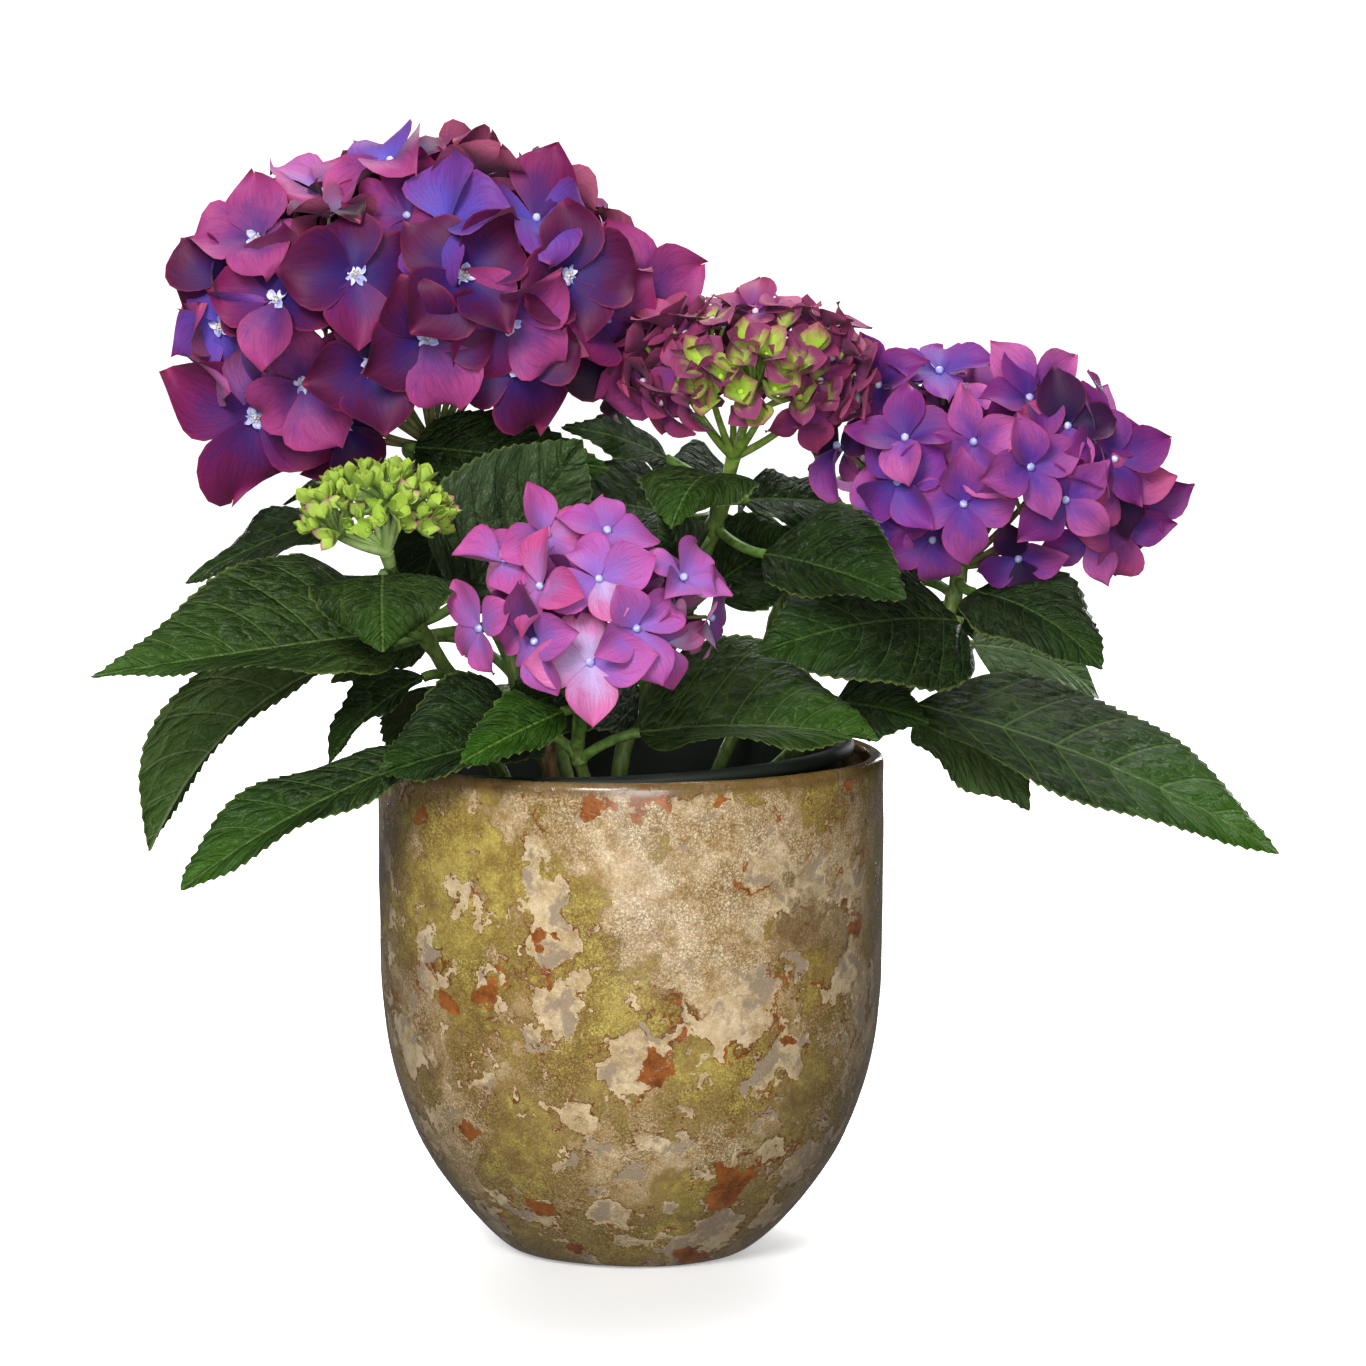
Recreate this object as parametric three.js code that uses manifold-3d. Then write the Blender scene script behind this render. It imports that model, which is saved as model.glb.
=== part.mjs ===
// Potted bigleaf hydrangea: glazed cover pot, grow pot, canes, leaves and five flower heads.
// Millimetres, +Z up, origin at the centre of the pot's flat underside, front towards -Y.
import * as THREE from "three";
import { mergeVertices } from "three/addons/utils/BufferGeometryUtils.js";
import Module from "manifold-3d";

const wasm = await Module();
wasm.setup();

// Named sizes
const CLEARANCE = 0.3;
const POT_SIDES = 34;
const GROW_SIDES = 24;
const POT_WALL = 6.5;
const POT_FLOOR = 10;
const POT_FLOOR_EDGE = 49.2;
const POT_OUTSIDE = [
  [46, 0], [49, 1.2], [54, 5], [62.5, 13.5], [71.8, 24.5], [80, 36.5], [87, 50], [92.4, 65],
  [96.6, 82], [99.2, 106], [99.9, 142], [100, 192],
];
const POT_LIP = { radius: 3.1, height: 194.9 };
const GROW_POT = { rim: 86, foot: 51, bottom: 15.96, height: 183.54, wall: 1.6, roll: 3, tilt: 2.6, pivot: 150 };
const COMPOST = { top: 167, edge: 162 };
const LEAF_THICK = 1.7;
const PETIOLE = { half: 2.1, thick: 4.2 };
const BLADE_STEPS = [0, 0.05, 0.16, 0.32, 0.5, 0.68, 0.86, 1];
const PETIOLE_STEPS = [0, 0.55];
const LOBE = [[0, 1, 0.16], [45, 0.66, 0.02]];
const CORE_SHARE = 0.72;
const SINK = 0.36;
const GOLDEN_ANGLE = Math.PI * (3 - Math.sqrt(5));

// Canes: points from the compost up, with the radius at the foot and at the tip.
const CANES = {
  front: { points: [[-12, -42, 154], [-16, -52, 188], [-20, -57, 204.7], [-19, -65, 226]], radii: [2.9, 2.3] },
  tall: { points: [[-22, -4, 154], [-40, -4, 215], [-58, 0, 262], [-72, 6, 296], [-78, 9, 318]], radii: [4, 3] },
  left: { points: [[-36, -20, 154], [-62, -28, 216], [-77, -38, 243.7], [-88, -61, 266], [-91, -76, 279]], radii: [3.4, 2.5] },
  centre: { points: [[-5, -19, 154], [-3, -18, 200], [17, -10, 248], [28.3, -8, 275.2], [35, -16, 296], [38.4, -22, 309]], radii: [3.6, 2.8] },
  right: { points: [[26, 4, 154], [44, 1, 178], [72, -2, 203], [106, -8, 222], [123.8, -8, 251.5], [130, -7, 272]], radii: [3.6, 2.8] },
  back_left: { points: [[-17, 26, 154], [-36, 52, 215], [-48, 68, 258], [-52, 76, 286]], radii: [3.2, 2.2] },
  back_right: { points: [[20, 28, 154], [48, 54, 215], [62, 70, 258], [67, 78, 290]], radii: [3.2, 2.2] },
};

const DRY_STUB = { foot: [-23, -36, 154], tip: [-33, -41, 206], radii: [2.6, 3.1] };

// Leaves. cane and at: where the petiole leaves its cane. base, tip: the blade's two ends.
// arch: how far the midrib rises over the chord. face: where the upper side looks. fold: how far
// each half is raised, in degrees. twist: turn from base to tip. halves: strips in each half.
// sides: how much of the width each side takes, then the powers by which the blade widens and narrows.
const LEAVES = {
  left_broad: { cane: "left", at: 0.52, base: [-93, -58, 251], tip: [-203, -95, 238], width: 84, arch: 1, face: [0.02, -0.56, 0.83], fold: 26, sides: [0.7, 1.12, 0.34, 1.25], halves: 2 },
  left_dark_back: { cane: "tall", at: 0.7, base: [-116, -2, 291], tip: [-176, 6, 264], width: 46, arch: 2, face: [-0.3, -0.35, 0.9], fold: 8, halves: 1 },
  left_hanging: { cane: "tall", at: 0.42, base: [-94, -18, 243], tip: [-188, -30, 162], width: 62, arch: 22, face: [-0.47, 0.71, 0.53], fold: 38, sides: [0.98, 0.36, 0.8, 0.9], halves: 2 },
  left_low_bright: { cane: "left", at: 0.14, base: [-74, -66, 205], tip: [-169, -104, 158], width: 50, arch: 6, face: [-0.15, -0.42, 0.9], fold: 20, twist: -10, sides: [0.56, 0.85, 0.7, 0.72], halves: 2 },
  front_left_glossy: { cane: "front", at: 0.6, base: [-34, -63, 212], tip: [-95, -92, 200], width: 76, arch: 3, face: [0.25, -0.6, 0.76], fold: 32, sides: [0.55, 0.8], halves: 2 },
  front_small_bright: { cane: "front", at: 0.72, base: [-25, -88, 224], tip: [-63, -118, 208], width: 40, arch: 2, face: [0.1, -0.8, 0.6], fold: 10, sides: [0.5, 0.75], halves: 1 },
  left_narrow_hanging: { cane: "left", at: 0.36, base: [-80, -44, 232], tip: [-117, -40, 198], width: 32, arch: 6, face: [-0.3, -0.75, 0.6], fold: 12, sides: [0.15, 1], halves: 1 },
  left_pale_small: { cane: "tall", at: 0.3, base: [-82, 22, 240], tip: [-120, 26, 222], width: 26, arch: 3, face: [-0.3, 0.75, 0.6], fold: 8, halves: 1 },
  left_heart: { cane: "left", at: 0.88, base: [-93, -88, 276], tip: [-92, -108, 249], width: 56, arch: 9, face: [0, -0.8, 0.6], fold: 8, halves: 2 },
  quilted_upright: { cane: "left", at: 0.6, base: [-66, -37, 262], tip: [-18, -55, 325], width: 70, arch: -3, face: [-0.2, -0.95, 0.2], fold: 10, halves: 2 },
  centre_edge_on: { cane: "centre", at: 0.9, base: [14, -3, 314], tip: [-27, -15, 327], width: 27, arch: 3, face: [0.45, -0.5, 0.75], fold: 8, halves: 1 },
  centre_heart: { cane: "centre", at: 0.93, base: [34, -32, 309], tip: [16, -70, 292], width: 50, arch: 8, face: [-0.1, -0.45, 0.9], fold: 7, halves: 2 },
  centre_broad: { cane: "centre", at: 0.72, base: [52, -38, 279.5], tip: [105, -82, 266.5], width: 62, arch: 4, face: [0.1, -0.85, 0.5], fold: 12, sides: [0.95, 0.52], halves: 2 },
  quilted_right: { cane: "right", at: 0.8, base: [128, -14, 251], tip: [49, -67, 244], width: 72, arch: 8, face: [0.2, -0.68, 0.7], fold: 6, sides: [1, 1, 0.48], halves: 2 },
  right_upper: { cane: "right", at: 0.95, base: [134, -20.5, 263], tip: [182, -51.5, 236], width: 54, arch: 7, face: [0.1, -0.5, 0.85], fold: 12, halves: 2 },
  right_pale_back: { cane: "right", at: 0.7, base: [136, 19, 238], tip: [188, 42, 214], width: 54, arch: 7, face: [0.2, -0.5, 0.82], fold: 10, halves: 1 },
  right_long: { cane: "right", at: 0.5, base: [112, -16, 218], tip: [252, -42, 163], width: 66, arch: 9, face: [0.25, -0.6, 0.76], fold: 8, sides: [1.08, 0.75, 0.64, 0.95], halves: 2 },
  right_underside: { cane: "right", at: 0.5, base: [115, 12, 213], tip: [158, 8, 173], width: 54, arch: 7, face: [0.45, 0.7, 0.5], fold: 10, halves: 1 },
  front_right_broad: { cane: "front", at: 0.6, base: [4, -64, 213], tip: [96, -57, 209], width: 76, arch: 5, face: [0, -0.52, 0.85], fold: 27, sides: [1.14, 0.55, 0.6, 1], halves: 2 },
  centre_dark_back: { cane: "centre", at: 0.82, base: [46, 8, 297], tip: [86, 26, 293], width: 27, arch: 2, face: [0.1, -0.75, 0.65], fold: 12, halves: 1 },
  under_tall_head: { cane: "tall", at: 0.86, base: [-84, -12, 319], tip: [-8, -29, 312], width: 50, arch: 2, face: [0.05, -0.9, 0.43], fold: 4, sides: [0.76, 1.1], halves: 1 },
  centre_grey_green: { cane: "centre", at: 0.7, base: [15, -28, 266], tip: [11, -54, 298], width: 40, arch: 6, face: [0.2, -0.75, 0.65], fold: 10, halves: 1 },
  centre_dark_left: { cane: "centre", at: 0.78, base: [17, 4, 291], tip: [-34, -2, 296], width: 50, arch: 4, face: [0, -0.7, 0.7], fold: 10, halves: 1 },
  right_dark_back: { cane: "right", at: 0.88, base: [116, 6, 265], tip: [84, 26, 256], width: 42, arch: 5, face: [0, -0.5, 0.85], fold: 10, halves: 1 },
  right_dark_low: { cane: "right", at: 0.36, base: [80, -24, 220], tip: [116, -34, 213], width: 30, arch: 3, face: [-0.1, -0.75, 0.65], fold: 12, halves: 1 },
  centre_low_left: { cane: "centre", at: 0.34, base: [2, -18, 228], tip: [-50, -34, 216], width: 52, arch: 4, face: [-0.1, -0.75, 0.65], fold: 12, halves: 1 },
  centre_low_right: { cane: "centre", at: 0.42, base: [31, 0, 262], tip: [68, 12, 284], width: 42, arch: 4, face: [0.1, -0.85, 0.5], fold: 12, halves: 1 },
  back_left_out: { cane: "back_left", at: 0.55, base: [-74, 66, 254], tip: [-162, 88, 222], width: 60, arch: 14, face: [-0.25, 0.2, 0.94], fold: 14, halves: 1 },
  back_left_in: { cane: "back_left", at: 0.62, base: [-22, 84, 258], tip: [20, 128, 226], width: 60, arch: 12, face: [0.1, 0.3, 0.94], fold: 14, halves: 1 },
  back_left_rear: { cane: "back_left", at: 0.8, base: [-64, 100, 280], tip: [-92, 165, 238], width: 66, arch: 14, face: [-0.1, 0.35, 0.93], fold: 14, halves: 1 },
  back_left_top: { cane: "back_left", at: 0.94, base: [-66, 56, 298], tip: [-140, 42, 292], width: 50, arch: 8, face: [-0.1, 0.1, 0.98], fold: 14, halves: 1 },
  back_right_out: { cane: "back_right", at: 0.55, base: [92, 66, 246], tip: [176, 92, 202], width: 68, arch: 14, face: [0.25, 0.2, 0.94], fold: 14, halves: 1 },
  back_right_rear: { cane: "back_right", at: 0.72, base: [66, 104, 268], tip: [70, 176, 226], width: 66, arch: 14, face: [0.05, 0.35, 0.93], fold: 14, halves: 1 },
  back_right_top: { cane: "back_right", at: 0.93, base: [88, 82, 300], tip: [142, 100, 282], width: 56, arch: 10, face: [0.2, 0.15, 0.96], fold: 14, halves: 1 },
  back_right_in: { cane: "back_right", at: 0.84, base: [46, 70, 292], tip: [4, 60, 300], width: 48, arch: 7, face: [0.3, -0.3, 0.9], fold: 12, halves: 1 },
  back_low_left: { cane: "back_left", at: 0.3, base: [-52, 74, 212], tip: [-98, 134, 168], width: 60, arch: 12, face: [-0.3, 0.4, 0.86], fold: 14, halves: 1 },
  back_low_right: { cane: "back_right", at: 0.32, base: [44, 78, 212], tip: [40, 150, 172], width: 60, arch: 12, face: [0, 0.45, 0.88], fold: 14, halves: 1 },
};

// Flower heads. reach: the ellipsoid the floret eyes sit on. floret: half the width of a floret.
// placed: florets read from the picture, as sideways and upward offsets with a turn in degrees.
const HEADS = {
  tall_wine: {
    centre: [-81, 10, 380], reach: [92, 76, 60], floret: 27, cane: "tall", lowest: -0.25, spacing: 41,
    placed: [[-53, -2, 5], [18, 8, 35], [4, -15, 20], [-18, -27, 8], [-71, -49, -8], [-44, -34, 30], [-80, -12, 15], [35, -10, 50],
      [76, -25, 20], [-23, 8, 0], [12, 27, 10], [-67, 27, 30], [-85, 2, 0], [-32, 42, 15], [-11, 54, 60], [29, 52, 20],
      [53, 36, 0], [86, 2, 25], [57, 7, 10], [69, -9, 40], [-30, -52, 45], [38, -27, 15], [-88, -34, 10]],
  },
  right_purple: {
    centre: [139, -5, 315], reach: [66, 58, 39], floret: 22, cane: "right", lowest: -0.4, spacing: 40,
    placed: [[-33, 10, 15], [-11, -14, 0], [14, 0, 20], [28, -13, 45], [29, 15, 10], [-36, -6, 35], [-58, 6, 20], [51, 1, 30],
      [14, 25, 0], [-19, 34, 15], [22, 34, 40], [51, 19, 10], [62, -6, 25], [60, -27, 5], [-42, 25, 30], [-7, 10, 20],
      [42, -34, 25], [-22, -30, 10]],
  },
  low_pink: {
    centre: [-14, -95, 262], reach: [46, 36, 33], floret: 20, cane: "front", lowest: -0.4, spacing: 32,
    placed: [[3, 16, 10], [-18, 13, 0], [-41, -4, 30], [-20, -7, 15], [0, -10, 0], [17, -2, 25], [-17, 31, 20], [6, 32, 0],
      [34, 15, 30], [44, 0, 10], [-32, 21, 5]],
  },
};
const HALF_OPEN = {
  cane: "centre", hub: [40, -26, 316], centre: [46, -38, 353], reach: [39, 32, 22], ray: 1.3,
  florets: 16, size: 14, lowest: -0.4,
};
const BUD_HEAD = {
  cane: "left", hub: [-92, -80, 284], centre: [-95, -88, 299], reach: [29, 24, 14], ray: 1.6,
  buds: 22, size: 7, lowest: -0.2,
};

// Materials
const paint = (color, roughness) => new THREE.MeshStandardMaterial({ color, roughness, metalness: 0 });
const MATERIALS = {
  glaze: paint(0xa08a48, 0.15),
  plastic: paint(0x1f3a22, 0.5),
  compost: paint(0x241a12, 0.95),
  cane: paint(0x6d9440, 0.6),
  dry: paint(0x6a4a2c, 0.9),
  leaf: paint(0x2c5226, 0.5),
  tall_wine: paint(0x6f2562, 0.6),
  right_purple: paint(0x9046a6, 0.6),
  low_pink: paint(0xc068ae, 0.6),
  half_open: paint(0x96385f, 0.6),
  green_bud: paint(0x9ccc35, 0.6),
};

const vec = (a) => new THREE.Vector3(a[0], a[1], a[2]);
const radians = THREE.MathUtils.degToRad;

// A closed solid from a geometry, with doubled points joined and empty triangles dropped.
function solidOf(geometry) {
  const bare = new THREE.BufferGeometry();
  bare.setAttribute("position", geometry.getAttribute("position"));
  bare.setIndex(geometry.getIndex());
  const merged = mergeVertices(bare, 1e-4);
  const corners = merged.getIndex().array;
  const kept = [];
  for (let i = 0; i < corners.length; i += 3) {
    const [a, b, c] = [corners[i], corners[i + 1], corners[i + 2]];
    if (a !== b && b !== c && c !== a) kept.push(a, b, c);
  }
  const vertProperties = merged.getAttribute("position").array;
  return new wasm.Manifold(new wasm.Mesh({ numProp: 3, vertProperties, triVerts: Uint32Array.from(kept) }));
}

// A named mesh from a solid.
function meshOf(name, solid, material) {
  const made = solid.getMesh();
  const geometry = new THREE.BufferGeometry();
  geometry.setAttribute("position", new THREE.BufferAttribute(made.vertProperties, 3));
  geometry.setIndex(new THREE.BufferAttribute(made.triVerts, 1));
  geometry.computeVertexNormals();
  const mesh = new THREE.Mesh(geometry, material);
  mesh.name = name;
  return mesh;
}

function geometryFrom(points, corners) {
  const geometry = new THREE.BufferGeometry();
  geometry.setAttribute("position", new THREE.Float32BufferAttribute(points.flatMap((p) => p.toArray()), 3));
  geometry.setIndex(corners);
  return geometry;
}

// A closed skin over rings of equal length, each run anticlockwise seen from the end it grows to.
function loft(rings) {
  const n = rings[0].length;
  const points = rings.flat();
  const corners = [];
  for (let i = 0; i + 1 < rings.length; i++) {
    for (let j = 0; j < n; j++) {
      const [a, b] = [i * n + j, i * n + ((j + 1) % n)];
      corners.push(a, b, b + n, a, b + n, a + n);
    }
  }
  const last = (rings.length - 1) * n;
  for (let j = 1; j + 1 < n; j++) {
    corners.push(0, j + 1, j);
    corners.push(last, last + j, last + j + 1);
  }
  return solidOf(geometryFrom(points, corners));
}

// A closed tapering limb along a smooth curve.
function limb(curve, radii, sides, steps, extra = 0) {
  const rings = [];
  const frames = curve.computeFrenetFrames(steps, false);
  for (let i = 0; i <= steps; i++) {
    const centre = curve.getPoint(i / steps);
    const radius = THREE.MathUtils.lerp(radii[0], radii[1], i / steps) + extra;
    const ring = [];
    for (let j = 0; j < sides; j++) {
      const angle = (2 * Math.PI * j) / sides;
      ring.push(
        centre.clone()
          .addScaledVector(frames.normals[i], radius * Math.cos(angle))
          .addScaledVector(frames.binormals[i], radius * Math.sin(angle)),
      );
    }
    rings.push(ring);
  }
  return loft(rings);
}

function smoothCurve(points) {
  return new THREE.CatmullRomCurve3(points, false, "centripetal");
}

// A limb grown by the clearance all round and at both ends, to cut its neighbours with.
function guardOf(points, radii, sides, steps) {
  const reach = 1.2 * CLEARANCE;
  const curve = smoothCurve(points);
  const foot = points[0].clone().addScaledVector(curve.getTangent(0), -reach);
  const tip = points[points.length - 1].clone().addScaledVector(curve.getTangent(1), reach);
  return limb(smoothCurve([foot, ...points.slice(1, -1), tip]), radii, sides, steps, reach);
}

// A closed profile, in radius and height, turned about the upright axis.
function turned(profile, sides) {
  const lathe = new THREE.LatheGeometry(profile.map(([r, z]) => new THREE.Vector2(r, z)), sides);
  lathe.rotateX(Math.PI / 2);
  return solidOf(lathe);
}

// The biggest closed body of a solid, without crumbs or bubbles.
function mainBody(solid) {
  return solid.decompose().reduce((best, body) => (body.volume() > best.volume() ? body : best));
}

// Pot
function coverPot() {
  const lip = [];
  for (let a = 0; a <= 180; a += 45) {
    lip.push([
      100 - POT_LIP.radius * (1 - Math.cos(radians(a))),
      POT_LIP.height + POT_LIP.radius * Math.sin(radians(a)),
    ]);
  }
  const inside = POT_OUTSIDE.slice(4, -1).map(([r, z], i, all) => {
    const slope = (all[Math.min(i + 1, all.length - 1)][0] - all[Math.max(i - 1, 0)][0])
      / (all[Math.min(i + 1, all.length - 1)][1] - all[Math.max(i - 1, 0)][1]);
    return [r - POT_WALL * Math.hypot(1, slope), z];
  });
  const profile = [[0, 0], ...POT_OUTSIDE, ...lip, ...inside.reverse(), [POT_FLOOR_EDGE, POT_FLOOR], [0, POT_FLOOR]];
  return turned(profile, POT_SIDES);
}

// Radius of the grow pot's inner wall at a height.
function growInside(height) {
  const g = GROW_POT;
  const share = (height - g.bottom) / g.height;
  return THREE.MathUtils.lerp(g.foot, g.rim, share) - g.wall - 0.4;
}

// Everything in the grow pot leans with it, up on the right.
function tilted(solid) {
  const lean = new THREE.Matrix4().makeRotationY(-radians(GROW_POT.tilt));
  const about = new THREE.Matrix4().makeTranslation(0, 0, GROW_POT.pivot);
  const matrix = about.clone().multiply(lean).multiply(about.clone().invert());
  return solid.transform(matrix.elements);
}

function growPot() {
  const g = GROW_POT;
  const top = g.bottom + g.height;
  const roll = [];
  for (let a = -90; a <= 180; a += 45) {
    roll.push([g.rim + g.roll * 0.5 + g.roll * Math.cos(radians(a)), top - g.roll + g.roll * Math.sin(radians(a))]);
  }
  const floor = g.bottom + g.wall;
  const inner = [[growInside(top - g.roll), top - g.roll], [growInside(floor), floor]];
  const profile = [[0, g.bottom], [g.foot, g.bottom], [g.rim - 0.6, top - 2.4 * g.roll], ...roll, ...inner, [0, floor]];
  return tilted(turned(profile, GROW_SIDES));
}

// The compost fills the grow pot, with a socket round the foot of every stem.
function compost(sockets) {
  const c = COMPOST;
  const bottom = GROW_POT.bottom + GROW_POT.wall + CLEARANCE;
  const wall = [bottom, c.edge].map((z) => [growInside(z) - 1.2 * CLEARANCE, z]);
  const profile = [[0, bottom], ...wall, [growInside(c.edge) * 0.6, c.top - 1.5], [0, c.top]];
  const body = tilted(turned(profile, GROW_SIDES));
  return sockets.reduce((rest, socket) => rest.subtract(socket), body);
}

// Leaf outline: the share of the greatest width at a place between base 0 and tip 1.
function outline(t, rise = 0.55, fall = 1) {
  const peak = rise / (rise + fall);
  return (t ** rise * (1 - t) ** fall) / (peak ** rise * (1 - peak) ** fall);
}

// One cross-section of a leaf, round the upper side and back along the lower.
function leafRing(at, along, face, half, fold, middle, edge, halves, [left, right] = [1, 1]) {
  const up = face.clone().addScaledVector(along, -face.dot(along)).normalize();
  const side = along.clone().cross(up);
  const shares = halves === 2 ? [-1, -0.5, 0, 0.5, 1] : [-1, 0, 1];
  const row = shares.map((s) => {
    const reach = half * s * (s < 0 ? left : right);
    const lift = Math.abs(reach) * Math.sin(fold);
    const centre = at.clone().addScaledVector(side, reach * Math.cos(fold)).addScaledVector(up, lift);
    return { centre, thick: THREE.MathUtils.lerp(middle, edge, Math.abs(s) ** 0.7) };
  });
  const upper = row.map((p) => p.centre.clone().addScaledVector(up, p.thick / 2));
  const lower = row.map((p) => p.centre.clone().addScaledVector(up, -p.thick / 2));
  return [...upper, ...lower.reverse()];
}

function bladeCurve(leaf) {
  const [base, tip] = [vec(leaf.base), vec(leaf.tip)];
  const chord = tip.clone().sub(base).normalize();
  const up = vec(leaf.face).addScaledVector(chord, -vec(leaf.face).dot(chord)).normalize();
  const bend = base.clone().lerp(tip, 0.5).addScaledVector(up, 2 * leaf.arch);
  return new THREE.QuadraticBezierCurve3(base, bend, tip);
}

function petioleCurve(leaf, start, blade) {
  const base = vec(leaf.base);
  const bend = base.clone().addScaledVector(blade.getTangent(0), -0.45 * start.distanceTo(base));
  return new THREE.QuadraticBezierCurve3(start, bend, base);
}

function leafSolid(leaf, start) {
  const blade = bladeCurve(leaf);
  const petiole = petioleCurve(leaf, start, blade);
  const face = vec(leaf.face).normalize();
  const [left, right, ...powers] = leaf.sides ?? [1, 1];
  const rings = PETIOLE_STEPS.map((t) => {
    const along = petiole.getTangent(t);
    return leafRing(petiole.getPoint(t), along, face, PETIOLE.half, 0, PETIOLE.thick, LEAF_THICK, leaf.halves);
  });
  for (const t of BLADE_STEPS.filter((step) => leaf.halves === 2 || step !== BLADE_STEPS[1])) {
    const along = blade.getTangent(t);
    const turn = face.clone().applyAxisAngle(along, radians((leaf.twist ?? 0) * t));
    const half = Math.max((leaf.width / 2) * outline(t, ...powers), THREE.MathUtils.lerp(PETIOLE.half, 0.9, t));
    const fold = radians(leaf.fold) * Math.min(1, t * 5);
    const middle = THREE.MathUtils.lerp(3.6, LEAF_THICK, Math.sqrt(t));
    rings.push(leafRing(blade.getPoint(t), along, turn, half, fold, middle, LEAF_THICK, leaf.halves, [left, right]));
  }
  return loft(rings);
}

// One open floret: four blunt lobes on a cone whose point sinks into the core.
function floretSolid(eye, out, turn, size, point) {
  const helper = Math.abs(out.z) > 0.9 ? new THREE.Vector3(0, -1, 0) : new THREE.Vector3(0, 0, 1);
  const up = helper.addScaledVector(out, -helper.dot(out)).normalize();
  const side = up.clone().cross(out);
  const rim = [];
  for (let k = 0; k < 4; k++) {
    for (const [offset, share, rise] of LOBE) {
      const angle = radians(turn + 90 * k + offset);
      rim.push(
        eye.clone()
          .addScaledVector(side, size * share * Math.cos(angle))
          .addScaledVector(up, size * share * Math.sin(angle))
          .addScaledVector(out, size * rise),
      );
    }
  }
  const points = [...rim, eye.clone(), point];
  const corners = [];
  const n = rim.length;
  for (let j = 0; j < n; j++) {
    const next = (j + 1) % n;
    corners.push(n, j, next, n + 1, next, j);
  }
  return solidOf(geometryFrom(points, corners));
}

// The direction in which a head looks at a place on its own ellipsoid.
function outward(offset, reach) {
  return new THREE.Vector3(offset.x / reach[0] ** 2, offset.y / reach[1] ** 2, offset.z / reach[2] ** 2).normalize();
}

// Places of a head's florets: those read from the picture, then a golden-angle fill of the rest.
function floretPlaces(head) {
  const [a, b, c] = head.reach;
  const places = head.placed.map(([x, z, turn]) => {
    const front = Math.sqrt(Math.max(0.12, 1 - (x / a) ** 2 - (z / c) ** 2));
    return { offset: new THREE.Vector3(x, -b * front, z), turn };
  });
  const count = Math.round((4 * Math.PI * Math.cbrt(a * b * c) ** 2) / head.spacing ** 2);
  for (let i = 0; i < count; i++) {
    const height = 1 - (2 * (i + 0.5)) / count;
    if (height < head.lowest) continue;
    const ring = Math.sqrt(1 - height * height);
    const angle = i * GOLDEN_ANGLE;
    const offset = new THREE.Vector3(a * ring * Math.cos(angle), b * ring * Math.sin(angle), c * height);
    if (places.every((p) => p.offset.distanceTo(offset) > head.spacing * 0.8)) places.push({ offset, turn: i * 37 });
  }
  return places;
}

function ellipsoid(centre, radii, across, down) {
  const ball = new THREE.SphereGeometry(1, across, down);
  ball.rotateX(Math.PI / 2);
  ball.scale(radii[0], radii[1], radii[2]);
  ball.translate(centre[0], centre[1], centre[2]);
  return solidOf(ball);
}

function stalk(from, to, radii) {
  return limb(new THREE.LineCurve3(from, to), radii, 6, 1);
}

function caneTip(head) {
  return CANES[head.cane].curve.getPoint(1);
}

function openHead(head) {
  const centre = vec(head.centre);
  const core = head.reach.map((r) => r * CORE_SHARE);
  const parts = [ellipsoid(head.centre, core, 12, 6), stalk(caneTip(head), centre, [2.5, 3.4])];
  for (const { offset, turn } of floretPlaces(head)) {
    const eye = centre.clone().add(offset);
    parts.push(floretSolid(eye, outward(offset, head.reach), turn, head.floret, eye.clone().lerp(centre, SINK)));
  }
  return wasm.Manifold.union(parts);
}

// The half-open head: rays fanning from the cane, small cupped florets on them and a dished middle.
function halfOpenHead(head) {
  const [a, b, c] = head.reach;
  const parts = [stalk(caneTip(head), vec(head.hub), [2.5, 3])];
  const centre = vec(head.centre);
  const plate = ellipsoid([head.centre[0], head.centre[1], head.centre[2] - 4], [a * 0.72, b * 0.72, 7], 10, 5);
  parts.push(plate);
  for (let k = 0; k < 7; k++) {
    const angle = k * ((2 * Math.PI) / 7);
    const spread = new THREE.Vector3(a * 0.45 * Math.cos(angle), b * 0.45 * Math.sin(angle), -4);
    parts.push(stalk(vec(head.hub), centre.clone().add(spread), [head.ray * 1.2, head.ray]));
  }
  for (let i = 0; i < head.florets; i++) {
    const height = 1 - ((1 - head.lowest) * (i + 0.5)) / head.florets;
    const ring = Math.sqrt(1 - height * height);
    const angle = i * GOLDEN_ANGLE;
    const offset = new THREE.Vector3(a * ring * Math.cos(angle), b * ring * Math.sin(angle), c * height * 1.1);
    const eye = centre.clone().add(offset);
    const point = eye.clone().lerp(centre, 0.75).add(new THREE.Vector3(0, 0, -4));
    parts.push(floretSolid(eye, outward(offset, head.reach), i * 31, head.size, point));
  }
  return wasm.Manifold.union(parts);
}

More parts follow.
